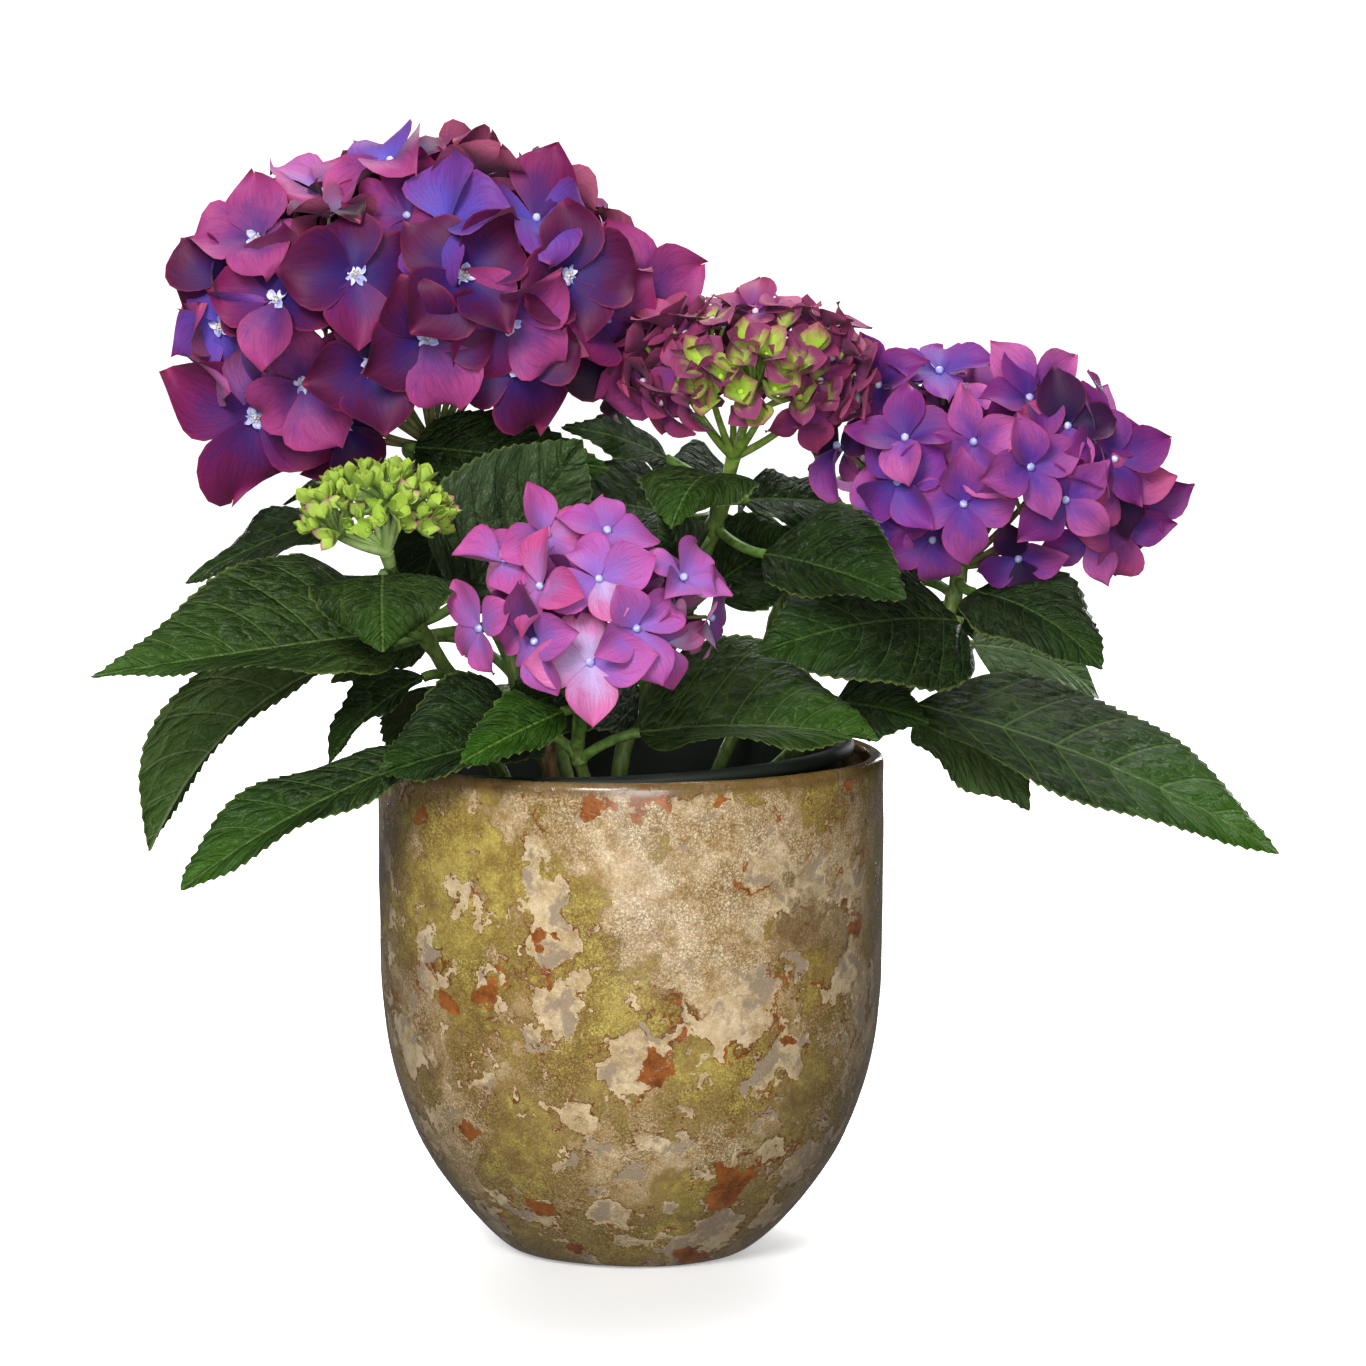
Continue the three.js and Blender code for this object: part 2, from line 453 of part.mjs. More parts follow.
// The green head: closed buds crowded over a small core on three short rays.
function budHead(head) {
  const [a, b, c] = head.reach;
  const centre = vec(head.centre);
  const parts = [stalk(caneTip(head), vec(head.hub), [2.5, 3])];
  parts.push(ellipsoid(head.centre, [a * 0.9, b * 0.9, c * 0.75], 10, 5));
  for (let k = 0; k < 3; k++) {
    const angle = radians(20 + 120 * k);
    const spread = new THREE.Vector3(a * 0.5 * Math.cos(angle), b * 0.5 * Math.sin(angle), 0);
    parts.push(stalk(vec(head.hub), centre.clone().add(spread), [head.ray * 1.2, head.ray]));
  }
  for (let i = 0; i < head.buds; i++) {
    const height = 1 - ((1 - head.lowest) * (i + 0.5)) / head.buds;
    const ring = Math.sqrt(1 - height * height);
    const angle = i * GOLDEN_ANGLE;
    const offset = new THREE.Vector3(a * ring * Math.cos(angle), b * ring * Math.sin(angle), c * height);
    const bud = new THREE.OctahedronGeometry(1);
    bud.scale(head.size * 0.62, head.size * 0.62, head.size);
    const turn = new THREE.Quaternion().setFromUnitVectors(new THREE.Vector3(0, 0, 1), outward(offset, head.reach));
    bud.applyQuaternion(turn);
    bud.translate(centre.x + offset.x, centre.y + offset.y, centre.z + offset.z);
    parts.push(solidOf(bud));
  }
  return wasm.Manifold.union(parts);
}

// Assembly
const plant = new THREE.Group();
plant.name = "potted_bigleaf_hydrangea";
plant.add(meshOf("cover_pot", coverPot(), MATERIALS.glaze));
plant.add(meshOf("grow_pot", growPot(), MATERIALS.plastic));

const guards = {};
for (const [name, cane] of Object.entries(CANES)) {
  const points = cane.points.map(vec);
  cane.curve = smoothCurve(points);
  plant.add(meshOf(`cane_${name}`, limb(cane.curve, cane.radii, 8, 8), MATERIALS.cane));
  guards[name] = guardOf(points, cane.radii, 8, 8);
}

const stubEnds = [vec(DRY_STUB.foot), vec(DRY_STUB.tip)];
plant.add(meshOf("dry_stub", limb(smoothCurve(stubEnds), DRY_STUB.radii, 7, 2), MATERIALS.dry));
guards.stub = guardOf(stubEnds, DRY_STUB.radii, 7, 2);
plant.add(meshOf("compost", compost(Object.values(guards)), MATERIALS.compost));

for (const [name, leaf] of Object.entries(LEAVES)) {
  const start = CANES[leaf.cane].curve.getPoint(leaf.at);
  const clear = mainBody(leafSolid(leaf, start).subtract(guards[leaf.cane]));
  plant.add(meshOf(`leaf_${name}`, clear, MATERIALS.leaf));
}

function addBloom(name, solid, head) {
  plant.add(meshOf(`bloom_${name}`, mainBody(solid.subtract(guards[head.cane])), MATERIALS[name]));
}
for (const [name, head] of Object.entries(HEADS)) addBloom(name, openHead(head), head);
addBloom("half_open", halfOpenHead(HALF_OPEN), HALF_OPEN);
addBloom("green_bud", budHead(BUD_HEAD), BUD_HEAD);

export default plant;
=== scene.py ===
import math
from collections import namedtuple

import bpy
import numpy as np
from mathutils import Matrix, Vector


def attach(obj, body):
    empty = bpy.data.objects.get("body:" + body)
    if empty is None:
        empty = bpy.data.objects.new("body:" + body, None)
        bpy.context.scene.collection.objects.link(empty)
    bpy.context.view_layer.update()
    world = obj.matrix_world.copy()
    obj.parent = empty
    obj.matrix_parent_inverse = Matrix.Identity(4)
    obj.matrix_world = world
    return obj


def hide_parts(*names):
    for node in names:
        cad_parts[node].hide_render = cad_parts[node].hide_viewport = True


bl_info = {
    "name": "Potted Bigleaf Hydrangea",
    "version": (1, 0, 0),
    "blender": (4, 5, 0),
    "location": "View3D > Sidebar > Hydrangea",
    "description": "Builds the glazed cover pot, canes, leaves and flower heads of a potted hydrangea",
    "category": "Object",
}

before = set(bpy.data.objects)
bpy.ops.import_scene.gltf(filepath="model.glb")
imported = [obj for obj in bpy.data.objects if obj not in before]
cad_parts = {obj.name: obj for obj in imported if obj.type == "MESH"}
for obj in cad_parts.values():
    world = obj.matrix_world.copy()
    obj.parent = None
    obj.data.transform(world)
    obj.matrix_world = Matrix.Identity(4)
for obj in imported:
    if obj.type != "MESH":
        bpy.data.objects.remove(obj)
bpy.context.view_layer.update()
MM = 0.001
GOLDEN_ANGLE = math.pi * (3 - math.sqrt(5))

# Pot: outside as radius and height, and the lip as its roll's radius and the height of its centre
POT_OUTSIDE = [
    (46, 0), (49, 1.2), (54, 5), (62.5, 13.5), (71.8, 24.5), (80, 36.5), (87, 50), (92.4, 65),
    (96.6, 82), (99.2, 106), (99.9, 142), (100, 192),
]
POT_WALL = 6.5
POT_FLOOR, POT_FLOOR_EDGE = 10, 49.2
POT_LIP = (3.1, 194.9)

# Grow pot and compost: the lean's angle and the height that it turns about
GROW_POT = {"rim": 86, "foot": 51, "bottom": 15.96, "height": 183.54, "wall": 1.6, "roll": 3}
GROW_TILT = (2.6, 150)
COMPOST_TOP = [(83.2, 158), (82.9, 162), (76, 163.4), (60, 165), (40, 166.4), (20, 167), (2, 167)]
CRUMBS = {"count": 420, "seed": 3, "spread": 80, "crown": 167.5, "sag": 4.5}

# Where the glaze's layers lie on the pot's front: sideways and height, radius, and how much more of it.
GLAZE_PATCHES = {
    "lime": [
        (-65, 150, 60, 0.2), (6, 112, 21, 0.2), (13, 174, 11, 0.24), (-17, 134, 8, 0.24), (52, 138, 6, 0.26),
        (38, 90, 30, 0.14), (-35, 35, 34, 0.14), (21, 38, 13, 0.2), (-84, 168, 12, -0.2),
        (-60, 150, 8, -0.18), (-74, 138, 7, -0.16), (-48, 178, 6, -0.1), (-50, 128, 7, -0.14),
        (45, 96, 6, -0.14), (-44, 48, 8, -0.14), (76, 180, 18, 0.08), (28, 152, 46, -0.22),
        (74, 150, 30, -0.1), (60, 60, 26, 0.08),
    ],
    "smooth": [
        (-33, 160, 17, 0.2), (-30, 138, 14, 0.2), (-27, 112, 14, 0.18), (46, 176, 22, 0.17),
        (-13, 184, 9, 0.2), (34, 104, 8, 0.16), (53, 118, 12, 0.13), (3, 92, 14, 0.18), (-22, 66, 12, 0.2),
        (-10, 54, 12, 0.18), (-10, 26, 11, 0.18), (30, 14, 17, 0.22), (62, 89, 11, 0.18),
        (-78, 116, 8, 0.18), (88, 150, 18, 0.18), (-70, 70, 12, 0.16), (-64, 160, 40, -0.15),
        (-40, 40, 22, -0.1), (36, 78, 14, -0.14),
    ],
    "brown": [
        (72, 148, 24, 0.2), (84, 118, 16, 0.2), (24, 158, 12, 0.14), (-74, 146, 14, 0.14),
        (-90, 118, 26, 0.16), (60, 178, 12, 0.12), (66, 60, 22, 0.14), (-52, 24, 20, 0.12),
        (-76, 84, 14, 0.12),
    ],
    "rust": [
        (-12, 191, 9, 0.32), (4, 190, 10, 0.32), (14, 191, 7, 0.28), (36, 190, 6, 0.3), (-34, 138, 6, 0.26),
        (-31, 124, 7, 0.26), (-70, 110, 9, 0.3), (-76, 122, 6, 0.26), (-55, 113, 7, 0.28), (10, 86, 10, 0.3),
        (39, 44, 11, 0.32), (36, 33, 9, 0.28), (-36, 29, 8, 0.28), (26, 5, 9, 0.3), (87, 136, 10, 0.26),
        (-23, 8, 6, 0.28), (-62, 57, 6, 0.28), (-80, 178, 6, 0.26), (18, 99, 5, 0.26), (62, 96, 5, 0.26),
    ],
}

# Canes: points from the compost up, with the radius at the foot and at the tip.
CANES = {
    "front": ([(-12, -42, 154), (-16, -52, 188), (-20, -57, 204.7), (-19, -65, 226)], (2.9, 2.3)),
    "tall": ([(-22, -4, 154), (-40, -4, 215), (-58, 0, 262), (-72, 6, 296), (-78, 9, 318)], (4, 3)),
    "left": (
        [(-36, -20, 154), (-62, -28, 216), (-77, -38, 243.7), (-88, -61, 266), (-91, -76, 279)],
        (3.4, 2.5),
    ),
    "centre": (
        [(-5, -19, 154), (-3, -18, 200), (17, -10, 248), (28.3, -8, 275.2), (35, -16, 296), (38.4, -22, 309)],
        (3.6, 2.8),
    ),
    "right": (
        [(26, 4, 154), (44, 1, 178), (72, -2, 203), (106, -8, 222), (123.8, -8, 251.5), (130, -7, 272)],
        (3.6, 2.8),
    ),
    "back_left": ([(-17, 26, 154), (-36, 52, 215), (-48, 68, 258), (-52, 76, 286)], (3.2, 2.2)),
    "back_right": ([(20, 28, 154), (48, 54, 215), (62, 70, 258), (67, 78, 290)], (3.2, 2.2)),
}
DRY_STUB = ((-23, -36, 154), (-33, -41, 206), (2.6, 3.1))

# Leaves: cane, place on it, blade's base and tip, width, arch, upper side's direction, fold, tone, how
# strongly the blade swells between its side veins, the width's share on each side, the powers by which it
# widens and narrows, and how far it turns to its tip.
Leaf = namedtuple(
    "Leaf", "cane place base tip width arch face fold tone swell shares powers twist",
    defaults=((1, 1), (0.55, 1.0), 0),
)
FIRST_LEAF_SEED = 100
VEIN_PAIRS = 7
LEAVES = {
    "left_broad": Leaf(
        "left", 0.52, (-93, -58, 251), (-203, -95, 238), 84, 1, (0.02, -0.56, 0.83), 26, "mid", 0.9,
        (0.7, 1.12), (0.34, 1.25)
    ),
    "left_dark_back": Leaf(
        "tall", 0.7, (-116, -2, 291), (-176, 6, 264), 46, 2, (-0.3, -0.35, 0.9), 8, "dark", 0.6
    ),
    "left_hanging": Leaf(
        "tall", 0.42, (-94, -18, 243), (-188, -30, 162), 62, 22, (-0.47, 0.71, 0.53), 38, "mid", 0.8,
        (0.98, 0.36), (0.8, 0.9)
    ),
    "left_low_bright": Leaf(
        "left", 0.14, (-74, -66, 205), (-169, -104, 158), 50, 6, (-0.15, -0.42, 0.9), 20, "green_tip", 0.8,
        (0.56, 0.85), (0.7, 0.72), -10
    ),
    "front_left_glossy": Leaf(
        "front", 0.6, (-34, -63, 212), (-95, -92, 200), 76, 3, (0.25, -0.6, 0.76), 32, "dark", 1.0,
        (0.55, 0.8)
    ),
    "front_small_bright": Leaf(
        "front", 0.72, (-25, -88, 224), (-63, -118, 208), 40, 2, (0.1, -0.8, 0.6), 10, "fresh", 0.5,
        (0.5, 0.75)
    ),
    "left_narrow_hanging": Leaf(
        "left", 0.36, (-80, -44, 232), (-117, -40, 198), 32, 6, (-0.3, -0.75, 0.6), 12, "dark", 0.5,
        (0.15, 1)
    ),
    "left_pale_small": Leaf(
        "tall", 0.3, (-82, 22, 240), (-120, 26, 222), 26, 3, (-0.3, 0.75, 0.6), 8, "pale", 0.5
    ),
    "left_heart": Leaf("left", 0.88, (-93, -88, 276), (-92, -108, 249), 56, 9, (0, -0.8, 0.6), 8, "mid", 0.6),
    "quilted_upright": Leaf(
        "left", 0.6, (-66, -37, 262), (-18, -55, 325), 70, -3, (-0.2, -0.95, 0.2), 10, "grey", 1.4
    ),
    "centre_edge_on": Leaf(
        "centre", 0.9, (14, -3, 314), (-27, -15, 327), 27, 3, (0.45, -0.5, 0.75), 8, "dark", 0.5
    ),
    "centre_heart": Leaf(
        "centre", 0.93, (34, -32, 309), (16, -70, 292), 50, 8, (-0.1, -0.45, 0.9), 7, "mid", 0.9
    ),
    "centre_broad": Leaf(
        "centre", 0.72, (52, -38, 279.5), (105, -82, 266.5), 62, 4, (0.1, -0.85, 0.5), 12, "dark", 1.2,
        (0.95, 0.52)
    ),
    "quilted_right": Leaf(
        "right", 0.8, (128, -14, 251), (49, -67, 244), 72, 8, (0.2, -0.68, 0.7), 6, "dark", 1.4, (1, 1),
        (0.48, 1.0)
    ),
    "right_upper": Leaf(
        "right", 0.95, (134, -20.5, 263), (182, -51.5, 236), 54, 7, (0.1, -0.5, 0.85), 12, "dark", 1.2
    ),
    "right_pale_back": Leaf(
        "right", 0.7, (136, 19, 238), (188, 42, 214), 54, 7, (0.2, -0.5, 0.82), 10, "pale", 0.5
    ),
    "right_long": Leaf(
        "right", 0.5, (112, -16, 218), (252, -42, 163), 66, 9, (0.25, -0.6, 0.76), 8, "green_tip", 0.9,
        (1.08, 0.75), (0.64, 0.95)
    ),
    "right_underside": Leaf(
        "right", 0.5, (115, 12, 213), (158, 8, 173), 54, 7, (0.45, 0.7, 0.5), 10, "pale", 0.9
    ),
    "front_right_broad": Leaf(
        "front", 0.6, (4, -64, 213), (96, -57, 209), 76, 5, (0, -0.52, 0.85), 27, "mid", 0.9, (1.14, 0.55),
        (0.6, 1)
    ),
    "centre_dark_back": Leaf(
        "centre", 0.82, (46, 8, 297), (86, 26, 293), 27, 2, (0.1, -0.75, 0.65), 12, "dark", 0.6
    ),
    "under_tall_head": Leaf(
        "tall", 0.86, (-84, -12, 319), (-8, -29, 312), 50, 2, (0.05, -0.9, 0.43), 4, "dark", 0.8,
        (0.76, 1.1)
    ),
    "centre_grey_green": Leaf(
        "centre", 0.7, (15, -28, 266), (11, -54, 298), 40, 6, (0.2, -0.75, 0.65), 10, "grey", 0.7
    ),
    "centre_dark_left": Leaf(
        "centre", 0.78, (17, 4, 291), (-34, -2, 296), 50, 4, (0, -0.7, 0.7), 10, "dark", 0.8
    ),
    "right_dark_back": Leaf(
        "right", 0.88, (116, 6, 265), (84, 26, 256), 42, 5, (0, -0.5, 0.85), 10, "dark", 0.6
    ),
    "right_dark_low": Leaf(
        "right", 0.36, (80, -24, 220), (116, -34, 213), 30, 3, (-0.1, -0.75, 0.65), 12, "dark", 0.6
    ),
    "centre_low_left": Leaf(
        "centre", 0.34, (2, -18, 228), (-50, -34, 216), 52, 4, (-0.1, -0.75, 0.65), 12, "dark", 0.7
    ),
    "centre_low_right": Leaf(
        "centre", 0.42, (31, 0, 262), (68, 12, 284), 42, 4, (0.1, -0.85, 0.5), 12, "dark", 0.7
    ),
    "back_left_out": Leaf(
        "back_left", 0.55, (-74, 66, 254), (-162, 88, 222), 60, 14, (-0.25, 0.2, 0.94), 14, "mid", 0.9
    ),
    "back_left_in": Leaf(
        "back_left", 0.62, (-22, 84, 258), (20, 128, 226), 60, 12, (0.1, 0.3, 0.94), 14, "mid", 0.9
    ),
    "back_left_rear": Leaf(
        "back_left", 0.8, (-64, 100, 280), (-92, 165, 238), 66, 14, (-0.1, 0.35, 0.93), 14, "dark", 0.9
    ),
    "back_left_top": Leaf(
        "back_left", 0.94, (-66, 56, 298), (-140, 42, 292), 50, 8, (-0.1, 0.1, 0.98), 14, "dark", 0.9
    ),
    "back_right_out": Leaf(
        "back_right", 0.55, (92, 66, 246), (176, 92, 202), 68, 14, (0.25, 0.2, 0.94), 14, "mid", 0.9
    ),
    "back_right_rear": Leaf(
        "back_right", 0.72, (66, 104, 268), (70, 176, 226), 66, 14, (0.05, 0.35, 0.93), 14, "mid", 0.9
    ),
    "back_right_top": Leaf(
        "back_right", 0.93, (88, 82, 300), (142, 100, 282), 56, 10, (0.2, 0.15, 0.96), 14, "dark", 0.9
    ),
    "back_right_in": Leaf(
        "back_right", 0.84, (46, 70, 292), (4, 60, 300), 48, 7, (0.3, -0.3, 0.9), 12, "dark", 0.9
    ),
    "back_low_left": Leaf(
        "back_left", 0.3, (-52, 74, 212), (-98, 134, 168), 60, 12, (-0.3, 0.4, 0.86), 14, "mid", 0.9
    ),
    "back_low_right": Leaf(
        "back_right", 0.32, (44, 78, 212), (40, 150, 172), 60, 12, (0, 0.45, 0.88), 14, "mid", 0.9
    ),
}

# Heads. reach: half the width, depth and height. floret: length of a sepal. lowest: share of the height
# below which nothing is filled in. spacing: of the fill's florets. crown: how much the upper florets face
# the front. placed: florets read from the picture, as offsets sideways and up, a turn and, where they
# differ, the share of the full size and how much they face the front. habit: a sepal's width to its
# length, its lift and curl in degrees, its waviness, and how it widens and narrows. tints: colours at the
# eye and at the margin.
# In each head the last, darkest pair of tints is a painted shade: the inner florets take it, and outer ones
# now and then.
HEADS = {
    "tall_wine": {
        "cane": "tall", "centre": (-81, 10, 380), "reach": (91, 76, 58), "floret": 30.5,
        "lowest": -0.25, "spacing": 41, "crown": -0.15,
        "placed": [
            (-53, -2, 5), (18, 8, 35), (4, -15, 20), (-18, -27, 8), (-65, -48, 65, 1.3), (-44, -34, 30),
            (-76, -12, 15), (35, -10, 50), (76, -25, 20), (-23, 8, 0), (12, 27, 10), (-62, 20, 10, 0.88),
            (-74, 4, 45, 0.86), (-34, 30, 45, 0.74), (-11, 50, 60), (24, 45, 20), (45, 29, 0),
            (84, -2, 25, 0.96, 1.1), (57, 7, 10), (69, -9, 40), (-30, -52, 45), (38, -27, 15),
            (90, -27, 40), (-80, -24, 50, 0.85),
        ],
        "habit": {"width": 1.02, "lift": 20, "curl": 38, "wave": 0.17,
                  "rise": 0.62, "fall": 1.3, "belly": 1.65},
        "tints": [
            ("#321a64", "#581640"), ("#48246e", "#7c2058"), ("#5c2e78", "#a03e7c"), ("#5c4cb4", "#703890"),
            ("#8258ae", "#ac5a98"), ("#1c0e36", "#320f26"),
        ],
        "weights": [0.31, 0.25, 0.22, 0.08, 0.08, 0.06],
        "reverse": ("#803c74", "#a0506e"), "eye": "star",
    },
    "right_purple": {
        "cane": "right", "centre": (139, -5, 315), "reach": (66, 58, 39), "floret": 25,
        "lowest": -0.4, "spacing": 40, "crown": 0.5,
        "placed": [
            (-33, 10, 15), (-11, -14, 0), (14, 0, 20), (28, -13, 45), (29, 15, 10), (-36, -6, 35),
            (-58, 6, 20), (47, 2, 30), (14, 25, 0), (-19, 34, 15, 0.92, 1.5), (16, 29, 40),
            (40, 10, 10, 0.9), (50, -10, 25, 0.9), (52, -27, 5), (57, -15, 20, 0.9, 1), (12, -38, 20, 0.8),
            (-42, 29, 30), (-7, 10, 20), (40, -30, 25), (-22, -30, 10), (-42, -22, 15),
        ],
        "habit": {"width": 0.78, "lift": 20, "curl": 38, "wave": 0.11,
                  "rise": 0.66, "fall": 1.4, "belly": 1.5},
        "tints": [
            ("#4c2a80", "#7c2c78"), ("#5c3494", "#9c468e"), ("#743e96", "#b8589a"), ("#543a98", "#7c328c"),
            ("#783a84", "#b04a7c"), ("#261440", "#3e1640"),
        ],
        "weights": [0.33, 0.23, 0.17, 0.13, 0.09, 0.05],
        "reverse": ("#9a5cb0", "#b86aae"), "eye": "bead",
    },
    "low_pink": {
        "cane": "front", "centre": (-14, -95, 262), "reach": (46, 36, 33), "floret": 22.5,
        "lowest": -0.4, "spacing": 32, "crown": 0.5,
        "placed": [
            (3, 16, 10), (-18, 13, 0), (-41, -4, 30), (-20, -7, 15), (0, -15, 0, 1.1), (17, -2, 25),
            (-17, 31, 20), (6, 32, 0), (34, 15, 30), (44, 0, 10), (-32, 21, 5),
        ],
        "habit": {"width": 0.86, "lift": 18, "curl": 32, "wave": 0.09,
                  "rise": 0.66, "fall": 1.2, "belly": 1.5},
        "tints": [
            ("#8e62ba", "#b257a4"), ("#9866b6", "#b8529a"), ("#a86cae", "#bc4a88"), ("#bca4d6", "#c868a0"),
            ("#8a58ac", "#a8489a"), ("#4a3070", "#6c2c60"),
        ],
        "weights": [0.34, 0.25, 0.13, 0.16, 0.07, 0.05],
        "reverse": ("#b084bc", "#c880ac"), "eye": "bead",
    },
}
# The half-open head: open florets with a turn, lime cups, and florets behind them
HALF_OPEN = {
    "cane": "centre", "hub": (40, -26, 316), "centre": (46, -38, 353), "reach": (39, 32, 22),
    "open": [
        (-26, -11, 10), (-40, -6, 30), (-40, 7, 5), (-14, 17, 20), (2, 20, 0), (16, 19, 35), (29, 14, 10),
        (36, 5, 20), (36, -9, 25), (-30, 14, 40), (22, -16, 15), (40, -4, 50), (-33, -14, 50),
        (32, -19, 65),
    ],
    "cups": [
        (-12, -4), (-4, -10), (7, 5), (-2, 8), (19, 0), (-21, 1), (10, -9), (30, -12), (26, 6), (-22, -9),
        (15, -3), (-5, 1), (2, -15), (-15, -13), (21, -13),
    ],
    "behind": 44, "seed": 71,
    "wide": {"width": 0.76, "lift": 28, "curl": 34, "wave": 0.08, "rise": 0.7, "fall": 1.3},
    "cup": {"width": 0.84, "lift": 58, "curl": 4, "wave": 0.04, "rise": 0.6, "fall": 0.9},
}
# The bud head
BUD_HEAD = {
    "cane": "left", "hub": (-92, -80, 284), "centre": (-95, -88, 299), "reach": (25, 22, 15),
    "buds": 78, "lowest": -0.45, "seed": 23,
    "cup": {"width": 0.7, "lift": 62, "curl": -14, "wave": 0.05, "rise": 0.6, "fall": 0.9},
}
# The small petals of a true flower
STAR_HABIT = {"lift": 24, "curl": 30, "wave": 0.0, "rise": 0.6, "fall": 0.7}

# Stage, in metres: each lamp's place, the height that it aims at over the origin, its size and its power
LAMPS = {
    "key_front_left": ((-0.6, -2.2, 1.5), 0.2, 0.8, 56),
    "fill_front_right": ((0.2, -2.5, 0.4), 0.12, 1.0, 30),
    "top_back": ((0.3, 0.7, 1.9), 0.1, 1.0, 34),
    "rim_left": ((-1.15, 2.4, 0.5), 0.15, 0.6, 14),
    "rim_right": ((1.15, 2.4, 0.5), 0.15, 0.6, 14),
}
# The camera that took the photo, found from the pot's ellipses and height
PHOTO_PIXELS = 1366
FOCAL_PIXELS = 5611
FILM_WIDTH = 36
CAMERA_PLACE = (0.0205, -2.2, 0.4756)
CAMERA_PITCH = 83.5


def ang(degrees):
    return math.radians(degrees)


def vec(values):
    return np.array(values, float)


def unit(v):
    return v / np.linalg.norm(v, axis=-1, keepdims=True)


def square_to(axis):
    """Two directions square to an axis: one as upright as can be, and one to its side."""
    spare = vec((0, 0, 1)) if abs(axis[2]) < 0.9 else vec((0, -1, 0))
    up = unit(spare - axis * spare.dot(axis))
    return up, np.cross(up, axis)


def swelling(t, rise, fall):
    """Share of the greatest width at a place between base 0 and tip 1."""
    peak = rise / (rise + fall)
    return t**rise * (1 - t) ** fall / (peak**rise * (1 - peak) ** fall)


# Curves
def smooth_curve(points):
    """The centripetal curve through the points, as a function of 0 to 1."""
    p = np.array(points, float)
    run = [2 * p[0] - p[1], *p, 2 * p[-1] - p[-2]]

    def at(t):
        place = (len(p) - 1) * t
        i = min(int(place), len(p) - 2)
        w = place - i
        a, b, c, d = run[i:i + 4]
        da, db, dc = (np.sum((q - r) ** 2) ** 0.25 for q, r in ((b, a), (c, b), (d, c)))
        m = db * ((b - a) / da - (c - a) / (da + db) + (c - b) / db)
        n = db * ((c - b) / db - (d - b) / (db + dc) + (d - c) / dc)
        return b + m * w + (3 * (c - b) - 2 * m - n) * w**2 + (2 * (b - c) + m + n) * w**3

    return at


def bow(start, bend, end, steps):
    """Points on a curve that leaves start towards bend and comes to end from it."""
    t = np.linspace(0, 1, steps)[:, None]
    return (1 - t) ** 2 * start + 2 * t * (1 - t) * bend + t**2 * end


CURVES = {name: smooth_curve(points) for name, (points, radii) in CANES.items()}


# Pieces
def select_only(obj):
    bpy.ops.object.select_all(action="DESELECT")
    bpy.context.view_layer.objects.active = obj
    obj.select_set(True)


def settle(obj, replaces=()):
    """Every piece rides on the one body and may stand for CAD nodes."""
    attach(obj, "root")
    if replaces:
        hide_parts(*replaces)


class Bunch:
    """Many small shapes gathered, to be joined as one mesh."""

    def __init__(self):
        self.points = []
        self.faces = []
        self.slots = []
        self.marks = []
        self.maps = {}
        self.count = 0

    def add(self, points, faces, slots=0, marks=None, **maps):
        """Adds a shape. slots: its material, or one for each face. marks: three numbers a point. maps: a UV
        pair for each corner, by map name."""
        self.points.append(points)
        self.faces.extend((faces + self.count).tolist())
        self.slots.extend(np.broadcast_to(slots, len(faces)).tolist())
        for name, pairs in maps.items():
            self.maps.setdefault(name, []).append(pairs.reshape(-1, 2))
        if marks is not None:
            self.marks.append(marks)
        self.count += len(points)

    def piece(self, name, materials, cad_slot, replaces=()):
        """Makes the mesh, smooth but for its sharp edges, and settles it."""
        mesh = bpy.data.meshes.new(name)
        mesh.from_pydata(np.concatenate(self.points) * MM, [], self.faces)
        for material in materials:
            mesh.materials.append(material)
        mesh.polygons.foreach_set("material_index", np.array(self.slots, np.int32))
        mesh.polygons.foreach_set("use_smooth", np.ones(len(self.slots), bool))
        for title, pairs in self.maps.items():
            layer = mesh.uv_layers.new(name=title)
            layer.data.foreach_set("uv", np.concatenate(pairs).astype(np.float32).ravel())
        if self.marks:
            field = mesh.attributes.new("growth", "FLOAT_VECTOR", "POINT")
            field.data.foreach_set("vector", np.concatenate(self.marks).astype(np.float32).ravel())
        mesh.update()
        obj = bpy.data.objects.new(name, mesh)
        bpy.context.scene.collection.objects.link(obj)
        select_only(obj)
        bpy.ops.object.shade_smooth_by_angle(angle=ang(75))
        settle(obj, replaces)


def grid_faces(index):
    """Four corners for each cell of a grid of point numbers."""
    cells = np.stack([index[:-1, :-1], index[:-1, 1:], index[1:, 1:], index[1:, :-1]], -1)
    return cells.reshape(-1, 4)


def blade_skin(upper, lower, *fields):
    """A thin closed blade: its points, upper faces and under faces. The two grids of points share their rim.
    Each field of the grid follows, with its values for the lower points after those for the upper ones."""
    rows, cols = upper.shape[:2]
    top = np.arange(rows * cols).reshape(rows, cols)
    under = top.copy()
    under[1:-1, 1:-1] = rows * cols + np.arange((rows - 2) * (cols - 2)).reshape(rows - 2, cols - 2)
    grids = ((upper, lower), *((field, field) for field in fields))
    points, *values = (
        np.concatenate([a.reshape(-1, a.shape[-1]), b[1:-1, 1:-1].reshape(-1, b.shape[-1])]) for a, b in grids
    )
    return points, grid_faces(top), grid_faces(under)[:, [0, 3, 2, 1]], *values


def tube_faces(rings, sides):
    """Faces of a closed tube: its points come ring by ring, and then the points at its foot and its tip."""
    index = np.arange(rings * sides).reshape(rings, sides)
    wall = grid_faces(np.concatenate([index, index[:, :1]], 1))
    foot, tip, last = rings * sides, rings * sides + 1, (rings - 1) * sides
    ends = []
    for a in range(0, sides, 2):
        b, c = a + 1, (a + 2) % sides
        ends += [(foot, c, b, a), (tip, last + a, last + b, last + c)]
    return np.concatenate([wall, np.array(ends)])


